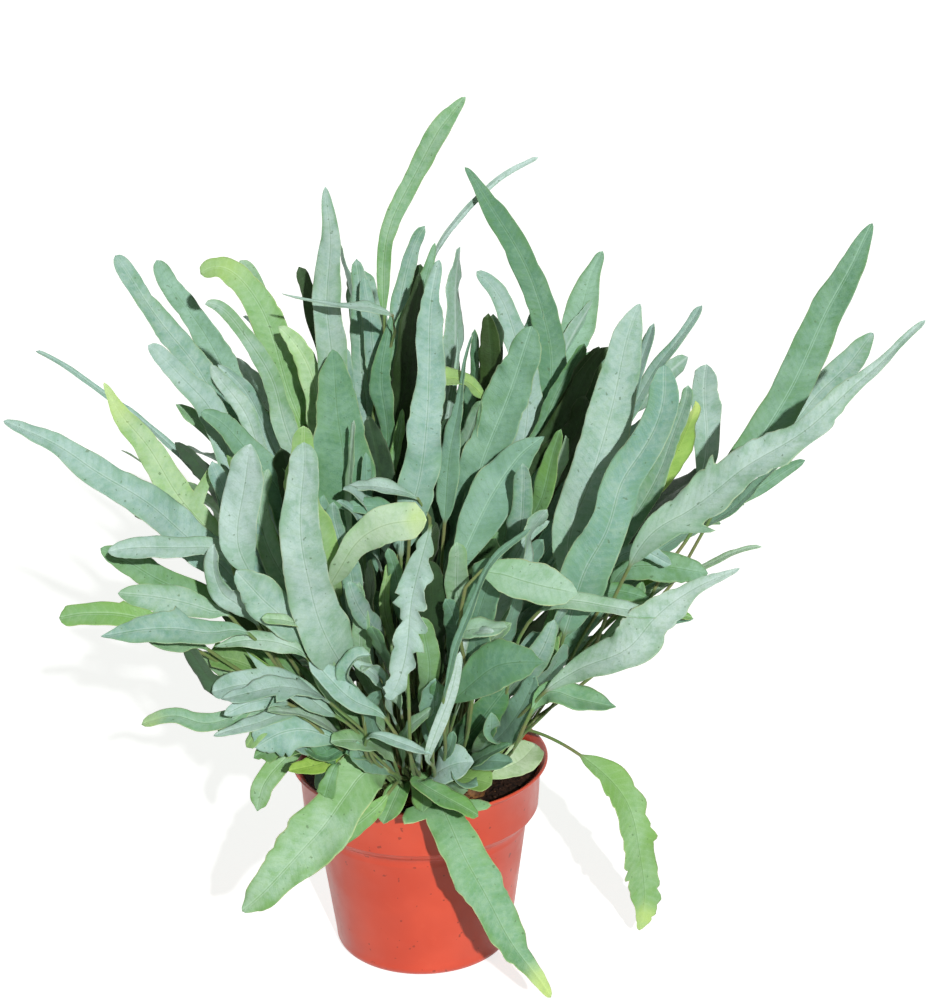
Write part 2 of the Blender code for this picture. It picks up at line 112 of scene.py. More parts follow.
# The fronds that stand for solids of the CAD part, by the names of their nodes.
FRONDS = {
    "top_1": fresh("rear", 0.42, 0, ((-16, 30, 200), (-15, 36, 262), (-13, 38, 298), (-12, 38, 324),
        (-7, 38, 343), (4, 38, 368), (12, 38, 381), (20, 38, 390)), (27, 38, 398), 12, stalk=0.33,
        shape="paddle", tone=0.4, warm=0.35, ruffle=0.3),
    "top_2": Frond("rear", 0.2, -8, (90, (-38, -16, 302)), (-33, -19, 374), 13.5, shape="spear",
        tone=0.6, warm=0.45),
    "top_3": green("rear", 0.82, 4, (80, (110, 64, 262)), (24, 68, 359), 14, shape="spear", tone=0.08,
        warm=0.3),
    "top_4": Frond("rear", 0.64, 10, (70, (93, 45, 253)), (30, 48, 316), 13, tone=0.4),
    "top_5": green("back", 0.7, 0, (90, (70, 100, 240)), (91, 112, 308), 18, shape="spear", tone=0.65,
        warm=0.4),
    "top_6": Frond("middle", 0.42, 0, ((-4, -30, 150), (-4, -42, 206), (3, -42, 243), (8, -40, 273),
        (10, -36, 299)), (14, -28, 340), 16, stalk=0.34, shape="taper", tone=0.35, warm=0.1, ruffle=1.3,
        scallop=0.12),
    "top_7": green("rear", 0.5, -4, ((-8, 10, 160), (-8, 10, 232), (-6, 8, 268), (1, 6, 304)),
        (11, 10, 338), 13, stalk=0.45, shape="lance", tone=0.6, warm=0.6),
    "top_8": shade("back", 0.42, 0, (90, (-7, 48, 254)), (5, 48, 318), 14),
    "top_9": Frond("back", 0.55, 0, (110, (-37, 67, 311)), (60, 80, 363), 4.5, (340, 30), tone=1,
        warm=0),
    "top_10": green("middle", 0.62, 4, (80, (26, -38, 236)), (53, -14, 306), 21, stalk=0.25,
        shape="even", tone=0.28, rib=1, ruffle=1, scallop=0.1),
    "left_1": Frond("rear", 0.05, 0, (60, (-82, 30, 262)), (-136, 45, 325), 14, tone=0.35, warm=0.4),
    "left_2": green("back", 0.12, 0, (60, (-84, 66, 250)), (-121, 90, 312), 15, tone=0.6, warm=0.2),
    "left_3": fresh("rear", 0.13, -6, (70, (-58, 15, 358)), (-94, 20, 325), 15, shape="even", tone=0.2,
        warm=0.9, yellow=0.3),
    "left_4": Frond("middle", 0.18, 4, (70, (-59, -22, 328)), (-86, -27, 324), 10),
    "left_5": Frond("middle", 0.07, 10, (50, (-75, -5, 268)), (-114, -11, 302), 14, tone=0.65),
    "left_6": Frond("rear", 0, 8, (50, (-90, 50, 234)), (-176, 70, 274), 4.5, (240, 70), warm=0.1),
    "left_7": young("middle", 0, 0, (45, (-105, -42, 250)), (-129, -53, 297), 12.5, stalk=0.35,
        shape="spear", lobes=((1, 0.52, 15, 6),), veer=52, tone=0.4, warm=0.5, yellow=0.6),
    "left_8": Frond("front", 0.02, 6, (50, (-90, -70, 246)), (-171, -61, 286), 18, (280, 40), 0.4,
        shape="taper", tone=0.4, warm=0.1, ruffle=0.7, scallop=0.06),
    "left_9": Frond("front", 0.08, -12, ((-48, -58, 150), (-68, -74, 205), (-78, -79, 230),
        (-98, -82, 234)), (-127, -84, 231), 10.5, (270, 50), 0.52, shape="even", tone=0.65, warm=0.2),
    "left_10": green("middle", 0.12, 4, (50, (-53, -29, 266)), (-90, -27, 274), 14),
    "left_11": Frond("front", 0.15, 4, ((-40, -62, 150), (-60, -88, 195), (-67, -98, 226),
        (-70, -102, 252)), (-64, -104, 286), 17, stalk=0.57, shape="even", tone=0.95, warm=0.1,
        ruffle=0.6, scallop=0.03),
    "left_12": Frond("front", 0.29, 2, ((-25, -72, 150), (-32, -100, 190), (-39, -111, 222),
        (-43, -114, 252)), (-41, -114, 291), 22.5, stalk=0.34, shape="club", tone=0.55, warm=0.3,
        ruffle=0.4, scallop=0.03),
    "left_13": young("middle", 0.24, -8, (60, (-47, -82, 222)), (-44, -86, 290), 15, stalk=0.4,
        tone=0.2),
    "left_14": green("middle", 0.3, 8, ((-24, -26, 150), (-29, -34, 210), (-29, -34, 240),
        (-31, -32, 272)), (-32, -30, 302), 25, stalk=0.42, shape="taper", tone=0.12, warm=0.3, rib=0.1),
    "low_1": green("middle", 0.09, -24, ((-52, -46, 150), (-78, -56, 189), (-92, -60, 204),
        (-113, -62, 214)), (-134, -62, 225), 12.5, stalk=0.36, tone=0.35, warm=0.75),
    "low_2": Frond("front", 0, -32, ((-56, -66, 160), (-75, -80, 199), (-87, -82, 205),
        (-100, -84, 211), (-110, -84, 214)), (-122, -85, 216), 12.5, stalk=0.36,
        lobes=((-1, 0.55, 3, 8),), tone=0.4, ruffle=0.9),
    "low_3": fresh("front", 0.13, -38, ((-48, -80, 150), (-80, -92, 182), (-103, -98, 200),
        (-111, -100, 207), (-123, -102, 212), (-135, -104, 214)), (-145, -104, 212), 10.5, (270, 50),
        0.43, shape="even", lobes=((1, 0.35, 3, 4),), tone=0.15, warm=1),
    "low_4": Frond("front", 0.22, -28, ((-44, -82, 150), (-60, -104, 196), (-70, -112, 208),
        (-84, -114, 208), (-96, -116, 211), (-110, -118, 212)), (-126, -118, 209), 14, (270, 50), 0.37,
        shape="lance", lobes=((1, 0.42, 3, 8),), tone=0.3, ruffle=0.9),
    "low_5": Frond("front", 0.38, -46, ((-14, -78, 130), (-30, -98, 160), (-48, -108, 181),
        (-66, -111, 184)), (-82, -112, 181), 13, (270, 60), 0.42, shape="even",
        lobes=((-1, 0.45, 8, 5), (1, 0.55, 8, 5)), veer=55, tone=0.6, warm=0.15),
    "low_6": fresh("front", 0.06, -50, ((-40, -70, 130), (-52, -88, 158), (-67, -92, 166),
        (-80, -96, 161), (-92, -98, 158), (-103, -98, 160)), (-116, -98, 157), 9.5, (270, 55), 0.31,
        tone=0.3, yellow=0.4),
    "low_7": fresh("middle", 0, -50, ((-40, -40, 118), (-50, -50, 125), (-58, -57, 121),
        (-66, -62, 112)), (-71, -64, 99), 11, (262, 40), 0.36, shape="spear", tone=0.4),
    "low_8": fresh("front", 0.32, -58, ((-8, -66, 118), (-20, -84, 128), (-30, -90, 119),
        (-42, -95, 104), (-58, -99, 87)), (-76, -101, 72), 25, (262, 34), 0.22, shape="taper", veer=62,
        warm=0.6, rib=0.5, ruffle=0.9, scallop=0.08),
    "low_9": fresh("front", 0.55, -60, (24, (4, -88, 112)), (55, -93, 19), 20, (280, 50), 0.22,
        shape="taper", lobes=((-1, 0.09, 12, 4.5), (1, 0.06, 13, 4)), veer=70, tone=0.2, warm=0.3,
        yellow=1, rib=0.2, ruffle=0.8, scallop=0.1),
    "heart_1": young("middle", 0.03, -12, ((-38, -62, 180), (-35, -78, 210), (-25, -91, 233),
        (-10, -102, 247)), (9, -110, 254), 16.5, (285, 34), 0.4, shape="cap", tone=0.9, yellow=0.5,
        ruffle=0.4),
    "heart_2": green("front", 0.45, -14, (30, (7, -96, 162)), (4, -104, 206), 11, stalk=0.5,
        shape="spoon"),
    "heart_3": Frond("front", 0.56, -10, (40, (16, -116, 214)), (37, -122, 209), 8, (270, 60), 0.55,
        tone=0.8),
    "heart_4": green("front", 0.66, -20, ((12, -76, 130), (14, -98, 160), (21, -107, 176),
        (31, -114, 187), (43, -119, 192)), (54, -122, 195), 21, (272, 40), 0.4, shape="lance",
        tone=0.05, rib=0.1),
    "heart_5": fresh("front", 0.78, -10, ((24, -80, 160), (22, -100, 204), (27, -109, 230),
        (36, -113, 233), (46, -116, 231), (58, -119, 228)), (70, -122, 225), 19, (276, 42), 0.49,
        shape="taper", tone=0.6, warm=0.1, rib=0.1),
    "heart_6": Frond("front", 0.46, -48, (18, (-2, -74, 128)), (25, -80, 131), 18, (280, 55)),
    "heart_7": green("middle", 0.54, -8, ((8, -56, 150), (16, -66, 192), (21, -64, 216), (31, -54, 241),
        (45, -44, 255)), (59, -36, 264), 20.5, stalk=0.45, shape="lance", tone=0.3, warm=0, rib=0.9,
        ruffle=0.8, scallop=0.04),
    "right_1": Frond("middle", 0.72, 0, ((58, -46, 160), (67, -54, 204), (69, -52, 221), (75, -50, 244),
        (84, -46, 271), (91, -40, 298)), (100, -34, 321), 20, stalk=0.26, shape="spear", tone=0.55,
        warm=0.35, ruffle=0.3, scallop=0.03),
    "right_2": Frond("middle", 0.79, -4, ((58, -66, 160), (70, -84, 208), (79, -84, 231),
        (89, -80, 254), (99, -76, 270), (106, -70, 288)), (108, -66, 303), 21, stalk=0.22, shape="club",
        tone=0.15, warm=0.3, ruffle=0.3, scallop=0.04),
    "right_3": Frond("rear", 0.88, 10, ((100, 40, 160), (126, 42, 196), (134, 42, 217), (136, 42, 239)),
        (137, 42, 272), 13.5, stalk=0.55, shape="even", tone=0.6, warm=0.3, rib=0.9),
    "right_4": green("middle", 0.86, 6, ((90, -34, 160), (116, -34, 208), (141, -26, 240),
        (162, -18, 264), (174, -4, 288), (188, 8, 308)), (209, 25, 342), 17, stalk=0.34, shape="spear",
        tone=0.28, warm=0.35, rib=0.9, ruffle=0.25, scallop=0.02),
    "right_5": Frond("rear", 0.96, 0, ((110, 20, 160), (142, 20, 218), (160, 20, 238), (178, 28, 252),
        (195, 40, 267)), (214, 62, 280), 13.5, stalk=0.45, shape="spear", tone=0.4, warm=0.45,
        scallop=0.03),
    "right_6": Frond("middle", 0.94, -4, ((72, -56, 160), (97, -72, 222), (118, -74, 243),
        (141, -74, 258), (170, -72, 278), (192, -68, 299)), (217, -66, 320), 20, (280, 45), 0.26,
        shape="flame", lobes=((1, 0.16, 5, 6), (-1, 0.28, 3, 6)), veer=40, tone=0.75, warm=0.3,
        scallop=0.12),
    "right_7": Frond("front", 1, 0, ((36, -60, 130), (53, -90, 166), (68, -94, 178), (85, -98, 190),
        (101, -100, 206), (118, -100, 219)), (135, -99, 227), 19, (278, 40), shape="dart", veer=45,
        tone=0.85, warm=0.4, scallop=0.12),
    "right_8": fresh("rear", 1, -10, (12, (118, -22, 98)), (101, -12, 8), 18, (300, 30), 0.44,
        shape="spear", tone=0.25, warm=1, yellow=0.6, rib=0.1, scallop=0.3),
    "right_9": young("front", 0.92, -30, (12, (46, -38, 102)), (55, -10, 103), 15.5, (290, 55), 0.1,
        shape="even", tone=1, warm=0.4),
    "rear_1": Frond("back", 0.2, 30, (60, (-60, 110, 230)), (-100, 150, 245), 20, (300, 60)),
    "rear_2": Frond("back", 0.33, 40, (60, (-20, 120, 250)), (-30, 165, 288), 22, (280, 60)),
    "rear_3": Frond("back", 0.48, 35, (60, (20, 120, 235)), (35, 160, 230), 21, (260, 60)),
    "rear_4": green("back", 0.82, 30, (60, (65, 105, 230)), (96, 140, 252), 20, (240, 60)),
    "rear_5": green("back", 0.93, 25, (45, (100, 80, 190)), (150, 100, 170), 18, (230, 60)),
}

# A crimped pale leaf that hangs down from behind the end of heart_1, in the same piece.
HEART_TAIL = Frond("front", 0.46, -30, ((-2, -92, 140), (-1, -98, 190), (3, -105, 216), (7, -109, 243),
    (9.5, -112, 253), (6.5, -114, 241), (3, -115, 222), (-1, -117, 204), (-6, -117, 188)),
    (-10, -115, 178), 12, (262, 15), 0.5, shape="even", tone=0.8, warm=0.1, rib=0.1, ruffle=2.2,
    scallop=0.8)

# Smaller inner fronds that only the visual model has, in groups that are one piece each.
INNER = {}
INNER["inner_top"] = (
    Frond("rear", 0.46, 0, (80, (-18, 30, 308)), (8, 30, 341), 9),
    shade("rear", 0.7, 0, (80, (42, 30, 250)), (37, 30, 301), 14),
    Frond("rear", 0.17, 0, (80, (-54, 25, 296)), (-77, 25, 330), 12),
    shade("rear", 0.25, 0, (80, (-30, 18, 285)), (-47, 20, 327), 12),
    Frond("middle", 0.42, 0, ((-16, 4, 200), (-16, 2, 270), (-8, -8, 303), (-6, -20, 314),
        (-16, -24, 318), (-27, -26, 319), (-39, -26, 323)), (-54, -26, 328), 7.5, (270, 60), 0.52,
        shape="flame", tone=1),
    Frond("rear", 0.34, 0, (80, (-21, 15, 275)), (-22, 15, 329), 12),
    Frond("rear", 0.38, -3, (80, (-16, 8, 277)), (-19, 8, 325), 12),
    young("rear", 0.3, 0, (80, (-31, 0, 262)), (-29, 0, 294), 13, stalk=0.4),
    green("rear", 0.44, 0, (70, (-9, 12, 240)), (-17, 14, 296), 14),
    Frond("rear", 0.4, 0, (70, (-14, 22, 256)), (-18, 26, 306), 9, stalk=0.4),
    shade("back", 0.36, 0, (80, (-9, 34, 258)), (-15, 36, 290), 8, stalk=0.5),
    green("rear", 0.52, 0, (70, (26, 16, 246)), (30, 18, 297), 9, stalk=0.4),
    shade("rear", 0.54, 0, (60, (38, 8, 240)), (37, 8, 306), 14, tone=0.1),
    lime("middle", 0.56, 4, ((24, -10, 180), (37, -14, 250), (36, -16, 270), (26, -18, 283)),
        (12, -20, 285), 12, (262, 50), 0.66, shape="cap", tone=0.9),
    Frond("middle", 0.48, 2, (70, (21, 10, 250)), (20, 20, 295), 5, (250, 20), 0.5, shape="lance"),
    green("back", 0.6, 2, (80, (44, 60, 250)), (62, 62, 296), 15),
    green("rear", 0.46, 0, ((-10, -4, 160), (-13, -6, 225), (-12, -6, 253), (-11, -6, 283)),
        (-7, -6, 311), 10, stalk=0.45, shape="lance", tone=0.4, warm=0.3),
    shade("rear", 0.48, 0, ((-8, 2, 160), (-9, 2, 207), (-6, 0, 242), (-3, 0, 271), (2, 0, 303)),
        (6, 0, 328), 13, stalk=0.4, shape="spear", tone=0),
    green("middle", 0.46, 0, ((-8, -14, 180), (-8, -14, 232), (-5, -12, 250)), (-4, -12, 268), 5.5,
        (262, 20), 0.5, tone=0.4),
)
INNER["inner_left"] = (
    Frond("middle", 0.15, 2, (60, (-59, 5, 269)), (-86, 5, 289), 11),
    young("middle", 0.26, 2, (60, (-31, -5, 286)), (-57, -5, 307), 12),
    Frond("middle", 0.34, 2, (60, (-34, -10, 250)), (-28, -5, 297), 14),
    Frond("rear", 0.08, 0, (50, (-74, 10, 244)), (-107, 10, 265), 10),
    Frond("front", 0.1, 0, (50, (-76, -45, 203)), (-63, -40, 252), 10),
    Frond("front", 0.04, 0, (45, (-92, -45, 222)), (-85, -45, 258), 8),
    Frond("rear", 0.04, 0, (60, (-70, 0, 243)), (-103, 4, 282), 10, stalk=0.5),
    Frond("middle", 0.14, 0, (60, (-66, -10, 256)), (-84, -10, 294), 9, stalk=0.5, tone=0.9),
    green("rear", 0.1, 0, (60, (-64, 10, 242)), (-86, 10, 268), 11, stalk=0.45),
    green("rear", 0.12, 0, (60, (-50, 10, 247)), (-69, 12, 260), 14, stalk=0.45),
    Frond("middle", 0.04, 0, (50, (-72, -40, 212)), (-84, -50, 259), 11, stalk=0.4),
    olive("middle", 0.08, 0, (50, (-64, -30, 206)), (-80, -36, 258), 9, stalk=0.4),
    shade("middle", 0.18, 0, (60, (-54, -24, 232)), (-58, -28, 257), 15, stalk=0.4),
    green("middle", 0.22, -4, (60, (-41, -50, 200)), (-37, -50, 242), 12, stalk=0.4),
    Frond("front", 0.3, -4, (50, (-29, -70, 203)), (-31, -74, 250), 9, (250, 20), 0.4),
    Frond("middle", 0.22, 0, (70, (-32, -44, 211)), (-22, -50, 278), 6, (230, 10), 0.4, tone=0.9),
    Frond("middle", 0.36, -4, (60, (-3, -60, 243)), (-28, -66, 252), 10, (270, 60), 0.6, tone=0.8),
    Frond("middle", 0.34, -6, (60, (-6, -60, 234)), (-31, -66, 246), 8, (270, 60), 0.6),
    Frond("middle", 0.28, 2, (70, (-27, -30, 234)), (-27, -34, 272), 16, stalk=0.4),
    green("middle", 0.24, 4, (70, (-35, -14, 219)), (-39, -20, 264), 16),
    shade("middle", 0.38, 0, (70, (-12, -20, 220)), (-17, -24, 270), 16),
    shade("back", 0.06, 0, (60, (-60, 40, 230)), (-86, 48, 268), 14),
    shade("rear", 0.02, 0, (50, (-76, 20, 214)), (-112, 30, 240), 13),
)
INNER["inner_low"] = (
    green("front", 0.12, -30, (25, (-52, -80, 194)), (-83, -80, 186), 12),
    Frond("front", 0.16, -45, (20, (-52, -90, 170)), (-85, -95, 153), 11),
    Frond("front", 0.25, -45, (20, (-48, -95, 172)), (-78, -100, 162), 11),
    green("front", 0.2, -55, (12, (-37, -45, 125)), (-42, -45, 99), 13),
    olive("front", 0.04, -30, (25, (-62, -84, 162)), (-89, -86, 187), 11, (250, 20), 0.5),
    green("front", 0.14, -50, (20, (-52, -92, 156)), (-68, -100, 144), 12, (270, 50), 0.5, scallop=0.3),
    Frond("front", 0.2, -50, (18, (-40, -88, 151)), (-62, -98, 148), 13, (270, 55), 0.5),
    green("front", 0.28, -55, (12, (-28, -80, 139)), (-42, -80, 114), 10, (270, 45), 0.5, shape="cap"),
    Frond("front", 0.36, -50, (16, (-14, -92, 154)), (-36, -104, 152), 13, (270, 45), 0.45),
    green("front", 0.34, -50, (14, (-17, -84, 136)), (-30, -96, 143), 10, (270, 55), 0.5),
    Frond("front", 0.26, -40, (20, (-27, -98, 163)), (-58, -114, 171), 9, (270, 60), 0.45, tone=0.8),
    green("front", 0.24, -20, (35, (-38, -90, 171)), (-65, -94, 182), 9, (270, 50), 0.5),
    shade("middle", 0.12, -6, (40, (-62, -60, 175)), (-86, -62, 201), 14, (250, 40), 0.5),
    Frond("front", 0.4, -20, (40, (-29, -98, 160)), (-39, -104, 193), 13, stalk=0.4, shape="even"),
    shade("middle", 0.06, -20, (30, (-60, -50, 150)), (-92, -60, 176), 14, (260, 40), 0.4),
    shade("middle", 0.14, -16, (30, (-52, -60, 156)), (-78, -70, 160), 14, (260, 50), 0.4),
)
INNER["inner_edge"] = (
    olive("front", 0.14, -16, ((-50, -80, 150), (-82, -104, 194), (-94, -106, 198), (-102, -108, 202)),
        (-109, -108, 207), 9, (270, 50), 0.4, tone=0.3),
    shade("front", 0.06, -20, ((-48, -76, 140), (-66, -98, 172), (-73, -100, 178), (-81, -104, 182),
        (-87, -106, 192)), (-94, -106, 201), 10, (245, 25), tone=1),
    olive("front", 0.16, -20, ((-46, -74, 150), (-60, -88, 172), (-69, -90, 181)), (-87, -92, 190),
        11.5, (260, 40), 0.47, shape="even", tone=0, warm=0.6),
    Frond("front", 0.22, -20, ((-30, -90, 160), (-41, -106, 192), (-52, -110, 201), (-66, -112, 203)),
        (-80, -112, 200), 9, (270, 55), 0.4, shape="lance", tone=0.75),
    fresh("front", 0.26, -20, ((-34, -90, 170), (-45, -104, 206), (-51, -110, 214)), (-63, -112, 215),
        6, (270, 55), 0.5, tone=0.9),
    Frond("front", 0.2, -10, ((-34, -84, 160), (-42, -100, 193), (-52, -105, 208), (-62, -107, 218)),
        (-72, -106, 231), 15.5, (268, 45), 0.4, shape="even", tone=0.65),
    Frond("front", 0.1, -6, ((-50, -74, 160), (-63, -86, 198), (-72, -90, 209), (-79, -94, 217),
        (-81, -96, 228)), (-79, -96, 240), 10, (275, 30), 0.33, tone=0.8, cup=0.4),
    Frond("front", 0.34, -30, ((-22, -90, 150), (-34, -104, 171), (-44, -110, 179), (-55, -114, 184),
        (-67, -116, 184)), (-81, -116, 181), 11, (270, 60), 0.34,
        lobes=((1, 0.2, 4, 8), (-1, 0.4, 5, 8)), veer=55, tone=0.85),
    Frond("front", 0.18, -30, ((-34, -92, 150), (-52, -104, 169), (-63, -110, 172)), (-77, -112, 168),
        8, (270, 60), 0.48, shape="taper", tone=0.8),
    Frond("front", 0.18, -34, ((-34, -92, 146), (-52, -104, 166), (-66, -110, 165)), (-83, -112, 160),
        8, (270, 60), 0.48, shape="taper", tone=0.8),
    lime("front", 0.12, -40, ((-40, -80, 140), (-62, -100, 157)), (-72, -104, 151), 7, (270, 55), 0.55),
    Frond("front", 0.38, -44, ((-20, -84, 134), (-40, -98, 153), (-52, -104, 156)), (-66, -106, 149),
        16, (270, 55), 0.4, shape="even", lobes=((-1, 0.5, 5, 4), (1, 0.3, 4, 4)), tone=0.4, warm=0.2,
        scallop=0.2),
    Frond("front", 0.5, -30, ((-4, -90, 140), (-12, -106, 163), (-26, -108, 173), (-36, -106, 184)),
        (-45, -104, 193), 12, (270, 50), 0.4),
    Frond("front", 0.36, -44, ((-20, -84, 134), (-18, -104, 154), (-5, -106, 152)), (9, -108, 148), 6,
        (270, 60), 0.45, tone=0.8),
    lime("front", 0.24, -50, ((-24, -62, 116), (-34, -78, 133), (-45, -84, 132)), (-57, -88, 131), 8,
        (262, 60), 0.45, tone=0.8),
    green("front", 0.3, -50, ((-24, -70, 124), (-30, -84, 140), (-38, -88, 138)), (-47, -90, 143), 9,
        (262, 60), 0.45),
    green("front", 0.32, -50, ((-26, -66, 122), (-31, -84, 133), (-35, -88, 129)), (-40, -90, 119), 9.5,
        (262, 40), 0.5, shape="cap", tone=0.7),
    green("front", 0.44, -40, (20, (-28, -84, 128)), (-24, -98, 150), 11, (270, 40), 0.4, tone=0.7,
        scallop=0.2),
    green("front", 0.3, -46, (20, (-40, -90, 140)), (-52, -100, 168), 10, (270, 45), 0.45, tone=0.6),
    fresh("front", 0.5, -50, ((4, -70, 118), (3, -84, 125), (12, -92, 121)), (27, -98, 112), 10,
        (275, 50), shape="even", tone=0.2, scallop=0.15),
    olive("front", 0.6, -50, ((12, -66, 118), (18, -80, 121)), (31, -88, 120), 11, (280, 55),
        shape="cap", tone=0.6),
    green("front", 0.7, -40, ((24, -60, 118), (33, -76, 128)), (44, -82, 132), 11, (280, 45)),
    fresh("front", 0.36, -50, ((-8, -70, 116), (-16, -84, 112), (-26, -87, 104)), (-36, -88, 96), 9,
        (270, 40), 0.4, shape="even", tone=0.1),
    fresh("front", 0.46, -50, ((-6, -52, 110), (-12, -63, 106)), (-17, -71, 98), 12, (270, 50), 0.25,
        shape="even", tone=0.3),
    green("front", 0.55, -50, ((0, -52, 112), (0, -62, 107)), (0, -70, 99), 11, (270, 50), 0.25,
        tone=0.4),
)
INNER["inner_core"] = (
    Frond("front", 0.44, -20, ((-16, -80, 130), (-22, -96, 164), (-25, -102, 182), (-20, -104, 191)),
        (-14, -104, 192), 9, (270, 40), 0.45, cup=0.5),
    green("front", 0.48, -16, (40, (-6, -90, 176)), (-16, -98, 205), 12, (250, 40), 0.5, tone=0.3),
    Frond("middle", 0.44, -10, (50, (-16, -84, 190)), (-24, -92, 222), 10, (290, 30), 0.5, tone=0.6),
    green("middle", 0.52, -10, (50, (-4, -80, 196)), (-10, -88, 232), 9, (240, 30), 0.5, tone=0.6),
    Frond("middle", 0.58, -8, (50, (12, -76, 190)), (14, -84, 218), 10, (300, 30), 0.5, tone=0.3),
    green("middle", 0.62, -8, ((10, -30, 160), (14, -34, 209), (16, -32, 236), (18, -28, 260),
        (23, -24, 283)), (30, -22, 304), 11, (262, 30), 0.4, shape="flame", warm=0.1),
    Frond("middle", 0.5, -6, ((2, -40, 180), (6, -44, 228), (0, -46, 241), (-14, -54, 248)),
        (-29, -58, 248), 11, (270, 55), 0.55, shape="lance", tone=0.9, warm=0.2),
    green("middle", 0.4, -6, ((-4, -44, 180), (0, -50, 222), (-6, -54, 235), (-18, -60, 241)),
        (-30, -62, 242), 9, (270, 55), 0.55, shape="lance", warm=0.2),
    green("middle", 0.32, -4, (60, (-24, -40, 226)), (-20, -46, 262), 8, (280, 30), 0.5),
    green("front", 0.58, -30, (30, (14, -86, 150)), (10, -96, 176), 9, (290, 40), 0.4, tone=0.3),
    green("front", 0.34, -30, (30, (-26, -90, 150)), (-14, -100, 174), 9, (290, 40), 0.4, tone=0.4),
    green("front", 0.74, -20, (40, (40, -84, 190)), (44, -96, 216), 11, (290, 40), 0.45),
    Frond("front", 0.8, -16, (40, (50, -80, 186)), (66, -92, 212), 9, (300, 40), 0.5, tone=0.4),
    green("front", 0.88, -20, (30, (58, -76, 160)), (64, -88, 186), 13, (290, 40), 0.4, tone=0.4),
    green("front", 0.76, -30, (24, (38, -84, 140)), (34, -94, 160), 10, (280, 50), 0.4, tone=0.6),
    Frond("middle", 0.7, -4, (60, (52, -60, 226)), (48, -66, 262), 11, (290, 30), 0.5, tone=0.3),
    green("middle", 0.74, -2, (60, (62, -50, 236)), (66, -56, 272), 10, (260, 30), 0.5, tone=0.4),
)
INNER["inner_heart"] = (
    Frond("front", 0.52, -20, (25, (11, -80, 160)), (23, -85, 188), 7),
    Frond("front", 0.6, -15, (40, (29, -60, 216)), (59, -60, 232), 8),
    green("front", 0.62, -50, (15, (10, -80, 126)), (26, -85, 123), 12),
    green("front", 0.7, -10, (40, (38, -40, 208)), (47, -40, 240), 18),
    green("front", 0.5, -30, (20, (9, -90, 155)), (8, -96, 176), 12, stalk=0.4),
    Frond("front", 0.48, -46, (14, (-6, -86, 146)), (8, -106, 146), 6, (270, 60), 0.4, tone=0.8),
    Frond("front", 0.42, -40, (20, (-16, -84, 141)), (9, -92, 162), 8, (270, 50), 0.4),
    Frond("front", 0.58, -30, (24, (11, -90, 164)), (22, -94, 195), 5, (240, 10), 0.35, tone=1),
    fresh("front", 0.64, -24, ((14, -84, 150), (18, -106, 190), (22, -113, 203), (31, -116, 207)),
        (38, -118, 209), 11, (275, 60), 0.52, shape="wedge", tone=0.8),
    green("front", 0.72, -24, ((22, -76, 140), (27, -92, 178), (29, -97, 202)), (33, -98, 232), 17,
        (270, 20), 0.42, shape="even"),
    green("front", 0.56, -24, ((8, -92, 140), (12, -110, 170), (15, -117, 184), (19, -119, 205),
        (28, -117, 224), (37, -114, 237)), (50, -112, 248), 4.5, (205, 15), tone=0.4, warm=0.1),
    Frond("front", 0.6, -24, (30, (20, -96, 182)), (40, -104, 204), 8, (270, 50), 0.45, tone=0.8),
    green("front", 0.52, -30, (20, (17, -76, 129)), (18, -80, 147), 6, stalk=0.5, shape="cap"),
    green("front", 0.66, -50, (14, (22, -78, 122)), (41, -84, 141), 9, (270, 50), 0.4),
    green("front", 0.72, -20, (30, (36, -74, 123)), (53, -84, 172), 16, stalk=0.25),
    green("front", 0.64, -16, (30, (23, -70, 129)), (39, -78, 164), 16, tone=0.1),
    shade("front", 0.56, -10, (34, (7, -84, 190)), (6, -90, 229), 17, stalk=0.4),
    shade("middle", 0.5, -6, (40, (-5, -66, 200)), (9, -74, 240), 15, stalk=0.4),
    shade("middle", 0.4, -8, (40, (-18, -70, 184)), (-17, -76, 222), 15, stalk=0.4),
    Frond("front", 0.36, -12, (40, (-28, -80, 165)), (-24, -84, 214), 9, (250, 20), 0.4),
    Frond("front", 0.38, -20, (30, (-5, -92, 171)), (-26, -100, 188), 8, (270, 60), 0.5, tone=0.7),
    Frond("front", 0.4, -26, (30, (-12, -96, 196)), (-23, -104, 182), 8, (270, 50), 0.45, tone=0.8),
    young("middle", 0.42, -10, (40, (-12, -80, 196)), (-11, -84, 226), 5, (240, 20), 0.4),
    Frond("front", 0.62, -14, (36, (27, -88, 200)), (18, -96, 240), 12, stalk=0.4),
    green("front", 0.68, -16, (36, (24, -92, 192)), (14, -100, 215), 9, (240, 30), 0.45),
    green("front", 0.7, -6, (44, (36, -24, 204)), (45, -24, 230), 14, stalk=0.4),
    Frond("front", 0.78, -8, (44, (38, -84, 226)), (56, -92, 250), 15, (290, 50), 0.45),
    green("middle", 0.6, -4, (50, (38, -40, 190)), (55, -46, 217), 14),
    shade("middle", 0.66, -4, (50, (25, -44, 190)), (38, -50, 220), 14),
    Frond("front", 0.84, -14, (36, (50, -86, 172)), (59, -92, 201), 11, stalk=0.5),
    shade("middle", 0.46, 0, (70, (12, -20, 238)), (17, -20, 268), 15),
    Frond("middle", 0.54, 0, (60, (19, -24, 222)), (32, -20, 277), 12, (250, 30), 0.4),
    Frond("front", 0.56, -40, ((8, -86, 130), (7, -106, 147), (12, -110, 170)), (21, -112, 197), 5.5,
        (285, 30), 0.35, tone=1),
)
